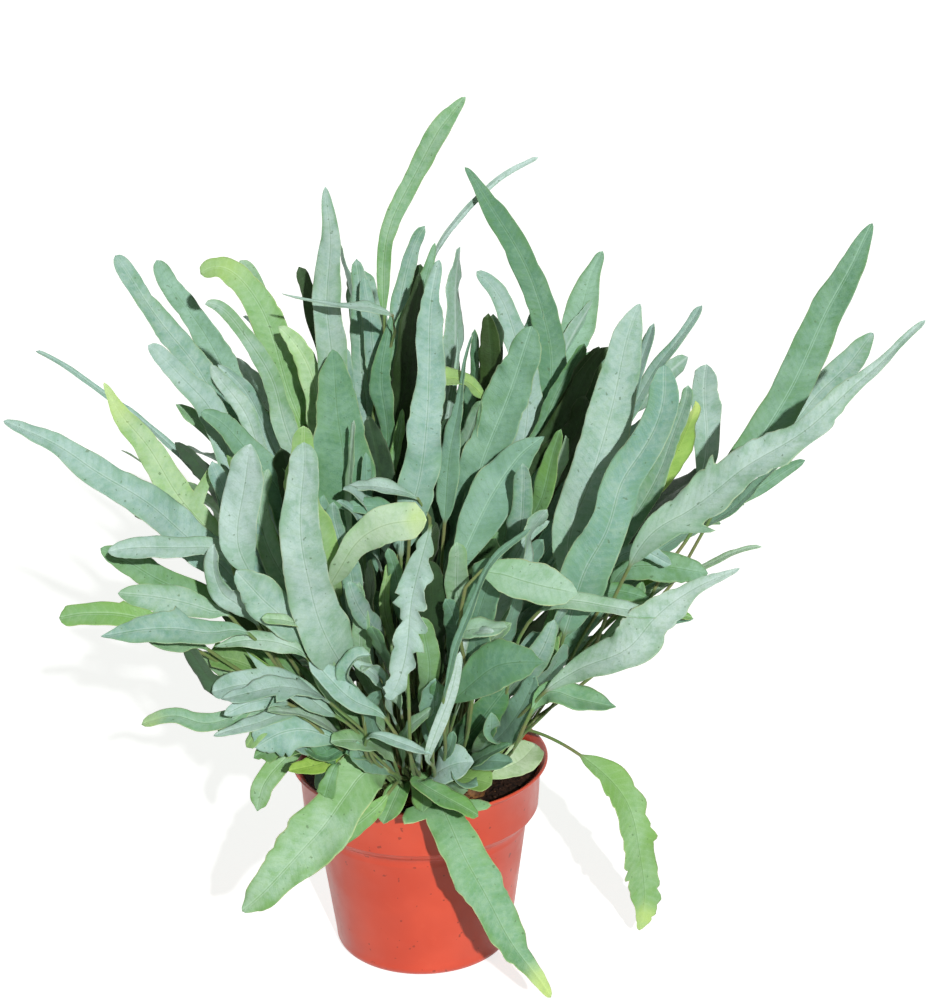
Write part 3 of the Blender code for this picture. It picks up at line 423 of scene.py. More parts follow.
INNER["inner_right"] = (
    green("middle", 0.98, -4, ((62, -26, 140), (82, -36, 182), (92, -40, 203), (108, -44, 207)),
        (128, -42, 201), 14, (275, 50), 0.46, tone=0.7, warm=0.6),
    fresh("front", 0.98, -6, ((60, -30, 140), (96, -30, 181), (110, -30, 180)), (124, -30, 174), 5.5,
        (275, 50), 0.55),
    lime("middle", 0.96, -4, ((62, -24, 140), (101, -20, 185), (114, -20, 192)), (126, -20, 194), 9,
        (275, 50), 0.5, tone=0.2),
    Frond("front", 0.92, -4, ((56, -36, 150), (80, -48, 206), (94, -51, 217)), (112, -54, 211), 7,
        (275, 50), 0.5, lobes=((1, 0.5, 3, 3),)),
    green("front", 0.94, -4, ((50, -36, 140), (68, -48, 186), (86, -50, 196)), (104, -50, 193), 10,
        (275, 45), 0.5),
    fresh("front", 0.86, -10, ((46, -44, 130), (57, -58, 164), (60, -60, 180)), (63, -60, 194), 8,
        (275, 35), 0.45, tone=0.6),
    green("middle", 0.9, -10, ((60, -30, 140), (80, -38, 166), (93, -40, 180)), (101, -40, 198), 7,
        (275, 35), 0.45, tone=0.6),
    Frond("rear", 0.9, 0, (60, (103, 20, 271)), (134, 25, 303), 8),
    Frond("middle", 0.84, 0, (60, (102, -5, 256)), (107, 0, 301), 12),
    Frond("middle", 0.78, 0, (60, (87, -20, 247)), (108, -20, 269), 12),
    Frond("middle", 0.9, 0, (60, (126, -15, 230)), (120, -15, 278), 11),
    lime("rear", 0.94, 0, (60, (126, 20, 225)), (128, 22, 262), 14, stalk=0.6, tone=0.7, yellow=1),
    shade("rear", 0.74, 0, (60, (67, 20, 262)), (88, 20, 287), 12),
    Frond("middle", 0.76, -4, (50, (83, -20, 219)), (88, -20, 245), 12),
    shade("rear", 0.66, 4, (60, (62, 20, 229)), (86, 30, 285), 20),
    shade("rear", 0.68, 4, (60, (60, 10, 218)), (78, 14, 265), 20),
    Frond("middle", 0.68, 2, (60, (56, -20, 220)), (67, -20, 259), 14, (280, 30), 0.4),
    green("middle", 0.64, 2, (60, (48, -30, 223)), (60, -34, 249), 13, (280, 30), 0.4),
    green("rear", 0.7, 4, (60, (61, 30, 250)), (77, 34, 285), 8, (280, 30), 0.45),
    Frond("middle", 0.8, 0, (50, (83, -20, 220)), (90, -20, 246), 9, stalk=0.5),
    green("middle", 0.84, 0, (50, (88, -10, 235)), (109, -10, 266), 11, stalk=0.5),
    green("rear", 0.8, 2, (60, (95, 16, 226)), (108, 20, 296), 11),
    green("rear", 0.98, 0, (40, (95, 20, 174)), (132, 24, 178), 9, (280, 60), 0.5),
    green("rear", 0.94, -4, (36, (92, 10, 168)), (127, 12, 180), 8, (280, 60), 0.5),
    green("middle", 0.98, -6, (36, (92, -20, 175)), (123, -30, 175), 5, (280, 60), 0.5),
    green("middle", 0.92, -4, (36, (65, -30, 165)), (83, -36, 187), 14, (280, 40)),
    shade("middle", 0.86, -4, (36, (56, -30, 165)), (71, -34, 192), 14, (280, 40)),
    fresh("front", 0.98, -20, ((44, -80, 138), (55, -91, 166), (69, -96, 166)), (86, -98, 165), 16,
        (275, 40), 0.42, shape="lance", tone=0.3),
    Frond("front", 0.92, -8, ((38, -72, 150), (46, -90, 196), (60, -98, 210), (82, -100, 208)),
        (106, -101, 206), 8.5, (275, 50), 0.5, shape="even", tone=0.9),
    green("rear", 0.92, 4, (50, (141, 20, 198)), (172, 30, 227), 9, (290, 50), 0.4, tone=0.6, warm=0.2),
    green("rear", 0.96, 4, (50, (134, 40, 205)), (184, 44, 223), 9, (290, 50), 0.4, warm=0.3),
    Frond("middle", 1, -4, (40, (118, -30, 203)), (153, -36, 211), 4, (290, 60), 0.5, tone=1),
    shade("rear", 0.98, 0, (40, (100, 40, 196)), (140, 60, 214), 15, (290, 50)),
)
INNER["inner_rear"] = (
    Frond("back", 0.04, 20, (40, (-90, 80, 190)), (-140, 95, 185), 18, (300, 60)),
    Frond("back", 0.1, 26, (50, (-70, 90, 200)), (-118, 118, 212), 15, (120, 50)),
    Frond("back", 0.16, 20, (70, (-50, 70, 256)), (-82, 96, 284), 15, (110, 40)),
    Frond("back", 0.26, 34, (44, (-44, 96, 190)), (-64, 136, 196), 15, (100, 60)),
    Frond("back", 0.3, 16, (80, (-20, 66, 280)), (-34, 84, 322), 14, (90, 30)),
    Frond("back", 0.4, 40, (36, (-6, 96, 170)), (-12, 140, 160), 16, (90, 60)),
    Frond("back", 0.44, 30, (60, (2, 92, 230)), (-4, 122, 262), 16, (90, 50)),
    Frond("back", 0.52, 18, (80, (20, 76, 270)), (22, 92, 316), 14, (90, 30)),
    Frond("back", 0.58, 40, (40, (26, 90, 180)), (44, 134, 186), 16, (80, 60)),
    Frond("back", 0.66, 28, (60, (46, 84, 226)), (62, 122, 250), 16, (80, 50)),
    Frond("back", 0.74, 24, (70, (66, 84, 258)), (88, 106, 286), 14, (70, 40)),
    Frond("back", 0.88, 26, (50, (84, 80, 206)), (124, 112, 222), 15, (60, 50)),
    Frond("back", 0.96, 20, (60, (92, 60, 240)), (132, 82, 262), 15, (60, 40)),
    green("rear", 0.98, 14, (40, (104, 40, 190)), (158, 62, 192), 14, (60, 60)),
    green("rear", 0.04, 16, (46, (-86, 46, 208)), (-140, 64, 226), 14, (120, 50)),
    green("back", 0.22, 44, (30, (-34, 84, 146)), (-60, 122, 128), 14, (110, 60)),
    green("back", 0.62, 46, (30, (30, 80, 142)), (52, 118, 122), 14, (80, 60)),
    shade("back", 0.36, 22, (60, (-20, 70, 220)), (-20, 96, 244), 15, (90, 40)),
    shade("back", 0.56, 22, (60, (26, 66, 214)), (34, 90, 236), 15, (90, 40)),
    shade("rear", 0.9, 14, (60, (84, 50, 226)), (104, 74, 250), 15, (80, 40)),
    shade("rear", 0.14, 14, (60, (-54, 44, 220)), (-74, 66, 246), 15, (110, 40)),
)

# Random young fronds deep in the crown, seen through the gaps: their tips lie in a half globe.
FILLERS = 88
FILLER_GROUP = 22
CROWN_CENTRE = np.array((12.0, 6.0, 105.0))
CROWN_RADII = np.array((150.0, 104.0, 205.0))

# --- the shape of a frond -----------------------------------------------------------------

STUB = 4.0                      # straight foot of each stalk above its rhizome
ROOT_DEPTH = 1.5                # how deep that foot starts inside the rhizome
ROOT_STEPS = 5
STALK_ROWS = 16
STALK_HALF_WIDTH = 0.78
STALK_HALF_DEPTH = 0.68
SPINE_STEPS = 160
ROW_STEP = 1.7                  # between rows of points along a blade
MIN_BLADE_ROWS = 24
INNER_FINENESS = 0.60           # rows of an inner frond against a main one's
FILLER_FINENESS = 0.42
WANDER = 1.3                    # how far a spine strays from its curve
BLADE_HALF_THICKNESS = 0.20
GROOVE_DEPTH = 0.22             # of the midrib on the upper side
RIB_DEPTH = 0.75                # of the midrib on the lower side
PLEAT_HEIGHT = 0.05
PLEAT_SPACING = 4.6
SCALLOP_LENGTHS = (8, 17)       # shortest scallops along a margin
CRIMPED = 0.5                   # a margin with deeper scallops than this share is crimped
CRIMP_LENGTHS = (5.5, 9)        # shortest scallops along a crimped margin
OUTLINE_STEPS = 400
SOFTENING = 20                  # steps of the outline that round each of its corners


def smooth(value):
    value = np.clip(value, 0.0, 1.0)
    return value * value * (3 - 2 * value)


def through_points(points, count):
    """A smooth line through the given points (Catmull-Rom), evenly stepped by parameter."""
    points = [np.array(point, float) for point in points]
    knots = [points[0] * 2 - points[1], *points, points[-1] * 2 - points[-2]]
    spans = len(points) - 1
    line = []
    for step in range(count + 1):
        place = min(step / count * spans, spans - 1e-9)
        span = int(place)
        t = place - span
        a, b, c, d = knots[span:span + 4]
        line.append(0.5 * (2 * b + (c - a) * t + (2 * a - 5 * b + 4 * c - d) * t ** 2
                           + (3 * b - a - 3 * c + d) * t ** 3))
    return np.array(line)


RHIZOME_LINES = {name: through_points(points, 10) for name, points in RHIZOMES.items()}


def unit(vectors):
    return vectors / np.maximum(np.linalg.norm(vectors, axis=-1, keepdims=True), 1e-9)


def rotate(vectors, axes, angles):
    """Turns each vector about its own axis (Rodrigues), angles in radians."""
    cos, sin = np.cos(angles)[:, None], np.sin(angles)[:, None]
    along = np.sum(axes * vectors, axis=1, keepdims=True)
    return vectors * cos + np.cross(axes, vectors) * sin + axes * along * (1 - cos)


def look_direction(azimuth, elevation):
    flat = math.cos(math.radians(elevation))
    return np.array((flat * math.cos(math.radians(azimuth)),
                     flat * math.sin(math.radians(azimuth)), math.sin(math.radians(elevation))))


def waves(rng, place, lengths, weights):
    """A smooth random wave: sines of the given wavelengths at random phases."""
    total = np.zeros_like(place)
    for length, weight in zip(lengths, weights):
        stretch = length * rng.uniform(0.85, 1.2)
        total += weight * np.sin(math.tau * (place / stretch + rng.uniform()))
    return total


def seed_of(text):
    return zlib.crc32(text.encode()) & 0x7FFFFFFF


class Spine(NamedTuple):
    """The middle line of a frond, by distance along it, and which way the frond faces there."""

    place: np.ndarray
    point: np.ndarray
    across: np.ndarray
    normal: np.ndarray
    blade_start: float

    def at(self, values, place):
        return np.stack([np.interp(place, self.place, values[:, k]) for k in range(3)], -1)


def frond_curve(frond, centre, start):
    """The frond's line from the top of its foot to its tip, without the random waves."""
    stub = centre + start * (RHIZOME_RADIUS + STUB)
    tip = np.array(frond.tip, float)
    if isinstance(frond.via[0], tuple):
        return through_points([stub, *frond.via, tip], SPINE_STEPS)
    rise, arch = frond.via
    bend = centre + start * (RHIZOME_RADIUS + rise)
    t = np.linspace(0, 1, SPINE_STEPS + 1)[:, None]
    s = 1 - t
    return stub * s ** 3 + bend * 3 * s * s * t + np.array(arch, float) * 3 * s * t * t + tip * t ** 3


def frond_spine(frond, rng):
    """Stands the frond on its rhizome, then lets its curve wander and turn a little."""
    line = RHIZOME_LINES[frond.rhizome]
    place = frond.at * (len(line) - 1)
    index = min(int(place), len(line) - 2)
    centre = line[index] + (line[index + 1] - line[index]) * (place - index)
    axis = unit(line[index + 1] - line[index])
    up = unit(UP - axis * axis[2])
    start = rotate(up[None], axis[None], np.array([math.radians(-frond.lean)]))[0]
    root = centre + start * (RHIZOME_RADIUS - ROOT_DEPTH)
    curve = frond_curve(frond, centre, start)
    foot = root + (curve[0] - root) * np.linspace(0, 1, ROOT_STEPS + 1)[:-1, None]
    point = np.vstack([foot, curve])
    step = np.linalg.norm(np.diff(point, axis=0), axis=1)
    distance = np.concatenate([[0], np.cumsum(step)])
    blade_start = float(np.interp(frond.stalk, np.linspace(0, 1, len(curve)),
                                  distance[ROOT_STEPS:]))
    sway = smooth((distance - blade_start * 0.3) / (distance[-1] * 0.5))
    wander = np.stack([waves(rng, distance, (90, 50), (0.8, 0.5)) for _ in range(3)], -1)
    point = point + (wander - wander[:1]) * sway[:, None] * WANDER
    along = unit(np.gradient(point, distance, axis=0))
    look = look_direction(*frond.face)
    normal = unit(look - along * (along @ look)[:, None])
    share = np.clip((distance - blade_start) / (distance[-1] - blade_start), 0, 1)
    turn = math.radians(frond.twist) * share
    turn = turn + waves(rng, distance, (120, 60), (0.14, 0.07)) * smooth(share * 3)
    normal = rotate(normal, along, turn)
    return Spine(distance, point, np.cross(along, normal), normal, blade_start)


def outline(frond, rng, share, distance):
    """Half width on each side along the blade, with scallops and lobes."""
    knots, cap = SHAPES[frond.shape]
    fine = np.linspace(0, 1, OUTLINE_STEPS + 1)
    table = np.interp(fine, *zip((0, 0), *knots))
    padded = np.pad(table, SOFTENING, mode="edge")
    mean = np.ones(2 * SOFTENING + 1) / (2 * SOFTENING + 1)
    table = np.convolve(padded, mean, "valid") * smooth(fine / 0.03)
    narrowing = 1 - rng.uniform(0, 0.30) * smooth((share - 0.55) / 0.45)
    cap_length = cap * frond.width * rng.uniform(0.9, 1.7)
    end = np.clip(1 - (distance[-1] - distance) / cap_length, 0, 1)
    half = np.interp(share, fine, table) * narrowing * frond.width / 2
    half = half * np.sqrt(1 - end ** rng.uniform(1.7, 2.3))
    lengths = CRIMP_LENGTHS if frond.scallop > CRIMPED else SCALLOP_LENGTHS
    sides = []
    for side in (-1, 1):
        edge = half
        for shortest in lengths:
            length = shortest * rng.uniform(1, 1.5)
            phase = distance / length + rng.uniform() + 0.5 * waves(rng, distance, (47,), (1,))
            bump = np.abs(np.sin(math.pi * phase)) ** 0.8 - 0.68
            swell = np.maximum(0.5 + 0.6 * waves(rng, distance, (38,), (1,)), 0)
            edge = edge * (1 + frond.scallop * bump * swell)
        swing = min(0.25 + 6 * frond.scallop, 1.3)
        edge = edge * (1 + swing * waves(rng, distance, (75, 34, 19), (0.09, 0.08, 0.04)))
        for lobe_side, place, reach, width in frond.lobes:
            if lobe_side != side:
                continue
            offset = (share - place) * (distance[-1] - distance[0]) / width
            finger = (half + reach) * np.sqrt(np.maximum(1 - np.abs(offset) ** 2.5, 0))
            edge = (edge ** 4 + finger ** 4) ** 0.25
        sides.append(edge)
    return sides


def cross_places(count):
    """Places across the blade, -1 to 1, closer together at the midrib and the margins."""
    inner = np.linspace(0, 1, count)
    half = inner ** 1.25 * 0.5 + smooth(inner) * 0.5
    return np.concatenate([-half[::-1], half[1:]])


def blade_lift(frond, rng, place, share, across, half):
    """How far the blade rises off its flat middle: turned-up margins, waves and pleats."""
    reach = np.abs(across)
    lift = frond.cup * half * reach ** 1.6 * (1 + 0.5 * waves(rng, place, (80,), (1,)))
    for sign in (-1, 1):
        edge_wave = waves(rng, place, (27, 16, 10), (0.7, 0.55, 0.25)) * frond.ruffle
        edge_wave = edge_wave * smooth(share / 0.15)
        grow = np.minimum(half / 6.0, 1.3)
        lift = lift + np.where(across * sign > 0, edge_wave * grow, 0) * reach ** 2.2
    pleat = PLEAT_HEIGHT * np.sin(math.tau * place / PLEAT_SPACING) * 4 * reach * (1 - reach)
    return lift + pleat


def tube_quads(rows, around):
    """Corner numbers of a tube's points, row by row, and the four-sided faces between them."""
    index = np.arange(rows * around).reshape(rows, around)
    following = np.roll(index, -1, axis=1)
    quads = np.stack([index[:-1], following[:-1], following[1:], index[1:]], -1)
    return index, quads.reshape(-1, 4)


def row_places(spine, fine):
    """Distance of each row of points along a frond, and its share of the blade."""
    blade_length = spine.place[-1] - spine.blade_start
    blade_rows = max(int(blade_length / (ROW_STEP / fine)), MIN_BLADE_ROWS)
    blade_place = np.linspace(0, 1, blade_rows)
    blade_place = blade_place + 0.35 * (smooth(blade_place) - blade_place)
    place = np.concatenate([np.linspace(0, spine.blade_start, STALK_ROWS)[:-1],
                            spine.blade_start + blade_length * blade_place])
    return place, np.clip((place - spine.blade_start) / blade_length, 0, 1)


def frond_ring(frond, spine, place, share, across, half, lift):
    """Points around each row: a round stalk that passes smoothly into a thin, ribbed blade."""
    flat = smooth(share / 0.05)
    reach = np.abs(across)
    fade = smooth(share / 0.08) * (1 - smooth((share - 0.82) / 0.18))
    shift = reach ** 1.1 * half / math.tan(math.radians(frond.veer)) * fade
    station = np.minimum(place + shift, spine.place[-1])
    station = place + (station - place) * flat
    sideways = across * half
    thick = BLADE_HALF_THICKNESS * (1 - 0.45 * reach ** 6) * (1 - 0.3 * share)
    rib = np.exp(-(sideways / 0.9) ** 2) * (1 - 0.75 * share)
    upper = lift + thick - GROOVE_DEPTH * np.exp(-(sideways / 0.7) ** 2)
    lower = lift - thick - RIB_DEPTH * rib

    theta = math.pi * (1 - (across + 1) / 2)
    round_side = np.cos(theta) * STALK_HALF_WIDTH
    round_up = np.sin(theta) * STALK_HALF_DEPTH
    side = round_side + (sideways - round_side) * flat
    high = round_up + (upper - round_up) * flat
    low = -round_up + (lower + round_up) * flat
    centre = spine.at(spine.point, station)
    out = unit(spine.at(spine.across, station))
    normal = unit(spine.at(spine.normal, station))
    top = centre + out * side[..., None] + normal * high[..., None]
    bottom = centre + out * side[..., None] + normal * low[..., None]
    return np.concatenate([top, bottom[:, ::-1]], axis=1)


def frond_mesh_data(frond, seed, fine):
    """Vertices, faces and surface values of one closed frond."""
    rng = np.random.RandomState(seed)
    spine = frond_spine(frond, rng)
    place, share = row_places(spine, fine)
    left, right = outline(frond, rng, share, place - spine.blade_start)
    narrowest = STALK_HALF_WIDTH * (1 - 0.45 * share) * (1 - smooth((share - 0.9) / 0.1) * 0.7)
    left, right = np.maximum(left, narrowest), np.maximum(right, narrowest)

    # From here on a row of the arrays is a place along the frond, a column one across it.
    place, share = place[:, None], share[:, None]
    across = cross_places(9 if fine >= 1 else 6)[None, :]
    half = np.where(across < 0, left[:, None], right[:, None])
    flat = smooth(share / 0.05)
    lift = blade_lift(frond, rng, place, share, across, half) * flat
    ring = frond_ring(frond, spine, place, share, across, half, lift)
    rows, around = ring.shape[:2]
    ends = np.stack([ring[0].mean(0), ring[-1].mean(0)])
    vertices = np.vstack([ring.reshape(-1, 3), ends])

    index, quads = tube_quads(rows, around)
    first, last = rows * around, rows * around + 1
    caps = [(first, int(b), int(a)) for a, b in zip(index[0], np.roll(index[0], -1))]
    caps += [(last, int(a), int(b)) for a, b in zip(index[-1], np.roll(index[-1], -1))]

    def both_sides(values):
        return np.concatenate([values, values[:, ::-1]], axis=1)

    def at_points(*channels):
        """The channels' values at the ring's points, then at the two ends."""
        table = np.stack([channel * np.ones((rows, around)) for channel in channels], -1)
        table = table.reshape(-1, 3)
        return np.vstack([table, table[:1], table[-1:]])

    aside = np.abs(across * half) * flat + (1 - flat) * 0.2
    yellow = frond.yellow * smooth((share - 0.80) / 0.12)
    tone = np.clip(frond.tone + rng.uniform(-0.12, 0.12), 0, 1)
    warm = rng.uniform() if frond.warm < 0 else frond.warm
    values = {
        "leaf_place": at_points(place, both_sides(aside), both_sides(np.abs(across) * flat)),
        "leaf_growth": at_points(share, yellow, np.arange(around) < around // 2),
        "leaf_tone": at_points(tone, warm, frond.rib),
    }
    return vertices, quads, caps, values


def filler_fronds():
    """Small fronds at random in the crown, lower toward the front so as not to hide others."""
    rng = np.random.RandomState(5)
    fronds = []
    front_to_back = list(RHIZOMES)
    while len(fronds) < FILLERS:
        azimuth = rng.uniform(0, 360)
        elevation = math.degrees(math.asin(rng.uniform(0.12, 0.98)))
        direction = look_direction(azimuth, elevation)
        if direction[1] < 0.2 and direction[0] > 0.3 and direction[2] < 0.6:
            continue            # the crown is open low on the right
        reach = rng.uniform(0.50, 0.80) * (0.84 if direction[1] < 0 else 1)
        tip = CROWN_CENTRE + CROWN_RADII * direction * reach
        arch = CROWN_CENTRE + CROWN_RADII * direction * (reach * 0.62, reach * 0.62, 0)
        arch = arch + (rng.normal() * 5, rng.normal() * 5, (tip[2] - CROWN_CENTRE[2]) * 0.8 + 12)
        rhizome = front_to_back[min(int((direction[1] * reach + 1) * 2), 3)]
        place = float(np.clip(0.5 + direction[0] * reach * 0.6, 0.02, 0.98))
        # Some of the fillers are painted shade: near-black fronds that darken the gaps of the crown.
        kind = rng.choice(("glaucous", "green", "shade"), p=(0.40, 0.32, 0.28))
        fronds.append(Frond(rhizome, place, 8 * direction[1], (rng.uniform(30, 60), tuple(arch)),
                            tuple(tip), rng.uniform(7, 14),
                            (270 + rng.normal() * 50, rng.uniform(15, 60)),
                            rng.uniform(0.35, 0.55), leaf=str(kind), ruffle=rng.uniform(0.4, 1.4),
                            twist=rng.normal() * 25, tone=rng.uniform(0.1, 0.9),
                            shape=str(rng.choice(("strap", "even", "lance", "spoon")))))
    return fronds


def loosened(frond, seed):
    """One of a group's fronds, a little darker as painted shade deep in the crown, and turned and
    crimped at random.
    """
    loose = np.random.RandomState(seed)
    return frond._replace(twist=frond.twist + loose.normal() * 22,
                          face=(frond.face[0] + loose.normal() * 16, frond.face[1]),
                          tone=frond.tone - 0.18,
                          ruffle=frond.ruffle * loose.uniform(1.0, 1.9),
                          scallop=frond.scallop * loose.uniform(1.0, 2.4))


def make_piece(name, vertices, faces, materials, slots=None):
    """A smooth-shaded mesh object; vertices in millimetres, slots the faces' material numbers."""
    mesh = bpy.data.meshes.new(name)
    mesh.from_pydata((np.array(vertices) * MM).tolist(), [], faces)
    for material in materials:
        mesh.materials.append(material)
    if slots:
        mesh.polygons.foreach_set("material_index", slots)
    mesh.polygons.foreach_set("use_smooth", [True] * len(mesh.polygons))
    mesh.update()
    piece = bpy.data.objects.new(name, mesh)
    bpy.context.scene.collection.objects.link(piece)
    return piece


def frond_object(name, fronds, materials, fine=1.0):
    """One piece holding one or more fronds, each with its own leaf material."""
    vertices, faces, slots = [], [], []
    values = {}
    kinds = sorted({frond.leaf for frond in fronds})
    start = 0
    for number, frond in enumerate(fronds):
        seed = seed_of(f"{name}_{number}")
        if len(fronds) > 2:
            frond = loosened(frond, seed)
        points, quads, caps, tables = frond_mesh_data(frond, seed, fine)
        vertices.append(points)
        faces += (quads + start).tolist()
        faces += [tuple(corner + start for corner in cap) for cap in caps]
        slots += [kinds.index(frond.leaf)] * (len(quads) + len(caps))
        for key, table in tables.items():
            values.setdefault(key, []).append(table)
        start += len(points)
    used = [materials[kind] for kind in kinds]
    piece = make_piece(name, np.vstack(vertices), faces, used, slots)
    for key, tables in values.items():
        layer = piece.data.attributes.new(key, "FLOAT_VECTOR", "POINT")
        layer.data.foreach_set("vector", np.vstack(tables).astype(np.float32).ravel())
    return piece


# --- materials ----------------------------------------------------------------------------

def srgb(red, green, blue):
    """A colour given as 0 to 255 display values, as linear numbers."""
    def channel(value):
        value /= 255
        return value / 12.92 if value <= 0.04045 else ((value + 0.055) / 1.055) ** 2.4
    return (channel(red), channel(green), channel(blue), 1)


WHITE = (1, 1, 1, 1)


class Nodes:
    """Small helper that adds and joins the nodes of a material or the world."""

    def __init__(self, owner):
        owner.use_nodes = True
        self.owner = owner
        self.tree = owner.node_tree

    def add(self, kind, **settings):
        node = self.tree.nodes.new(kind)
        for key, value in settings.items():
            setattr(node, key, value)
        return node

    def feed(self, socket, value):
        if isinstance(value, (int, float, tuple)):
            socket.default_value = value
        else:
            self.tree.links.new(value, socket)

    def filled(self, kind, output, inputs, **settings):
        """Adds a node, feeds its inputs and returns one of its outputs."""
        node = self.add(kind, **settings)
        for key, value in inputs.items():
            self.feed(node.inputs[key], value)
        return node.outputs[output]

    def math(self, operation, *values, clamp=False):
        return self.filled("ShaderNodeMath", 0, dict(enumerate(values)), operation=operation,
                           use_clamp=clamp)

    def times(self, first, second):
        return self.math("MULTIPLY", first, second)

    def mix(self, factor, first, second):
        return self.filled("ShaderNodeMix", "Result", {"Factor": factor, "A": first, "B": second},
                           data_type="RGBA")

    def ramp(self, value, low, high, start=0.0, end=1.0):
        """Maps low..high to start..end, smoothly and held at the ends."""
        return self.filled("ShaderNodeMapRange", "Result",
                           {"Value": value, "From Min": low, "From Max": high, "To Min": start,
                            "To Max": end}, interpolation_type="SMOOTHSTEP")

    def attribute(self, name):
        vector = self.add("ShaderNodeAttribute", attribute_name=name).outputs["Vector"]
        split = self.add("ShaderNodeSeparateXYZ")
        self.feed(split.inputs[0], vector)
        return split.outputs

    def noise(self, scale, detail=3.0, roughness=0.55):
        place = self.add("ShaderNodeTexCoord").outputs["Object"]
        return self.filled("ShaderNodeTexNoise", "Fac",
                           {"Scale": scale, "Detail": detail, "Roughness": roughness,
                            "Vector": place})

    def bump(self, height, strength, distance):
        return self.filled("ShaderNodeBump", "Normal",
                           {"Strength": strength, "Distance": distance, "Height": height})

    def seen(self):
        """1 for what the camera or a reflection sees, and 0 for light that falls on things."""
        rays = self.add("ShaderNodeLightPath").outputs
        return self.math("MAXIMUM", rays["Is Camera Ray"], rays["Is Glossy Ray"])

    def surface(self, colour, roughness, normal=None, **constants):
        shader = self.tree.nodes["Principled BSDF"]
        self.feed(shader.inputs["Base Color"], colour)
        self.feed(shader.inputs["Roughness"], roughness)
        if normal is not None:
            self.feed(shader.inputs["Normal"], normal)
        for key, value in constants.items():
            self.feed(shader.inputs[key.replace("_", " ")], value)
        return shader.outputs[0]


class LeafLook(NamedTuple):
    """Display colours of one kind of leaf."""

    dim: tuple                  # blade of the darkest leaves of this kind
    pale: tuple                 # blade of the palest ones
    flesh: tuple                # green under the waxy bloom: blotches, veins, margins
    under: tuple                # lower side
    rim: float = 0.35           # how much the margin turns straw-coloured
    drift: float = 1.0          # how much the colour differs from leaf to leaf


LEAF_LOOKS = {
    "glaucous": LeafLook((109, 153, 137), (197, 215, 210), (108, 153, 102), (149, 179, 166)),
    "green": LeafLook((80, 127, 94), (150, 188, 165), (82, 131, 60), (119, 151, 118)),
    "fresh": LeafLook((106, 156, 112), (188, 214, 191), (106, 157, 72), (143, 177, 136), 0.7),
    "olive": LeafLook((92, 130, 74), (155, 185, 127), (94, 136, 52), (128, 154, 96), 0.5),
    "lime": LeafLook((112, 154, 62), (180, 209, 108), (112, 157, 42), (152, 188, 88), 0.4),
    "young": LeafLook((139, 182, 132), (208, 227, 194), (146, 188, 106), (166, 198, 146), 0.5),
    # Painted shade: the near-black colours of fronds that stand for foliage in deep shadow.
    "shade": LeafLook((30, 48, 20), (60, 94, 56), (42, 66, 22), (36, 54, 20), 0.1, 0.2),
}
TIP_YELLOW = srgb(206, 228, 136)
RIM_STRAW = srgb(202, 208, 150)
SPOT_COLOUR = srgb(70, 92, 58)
WARM_GREEN = srgb(142, 183, 100)
COOL_BLUE = srgb(156, 191, 193)
VEIN_HALF_GAP = 1.9             # from a vein to midway between two


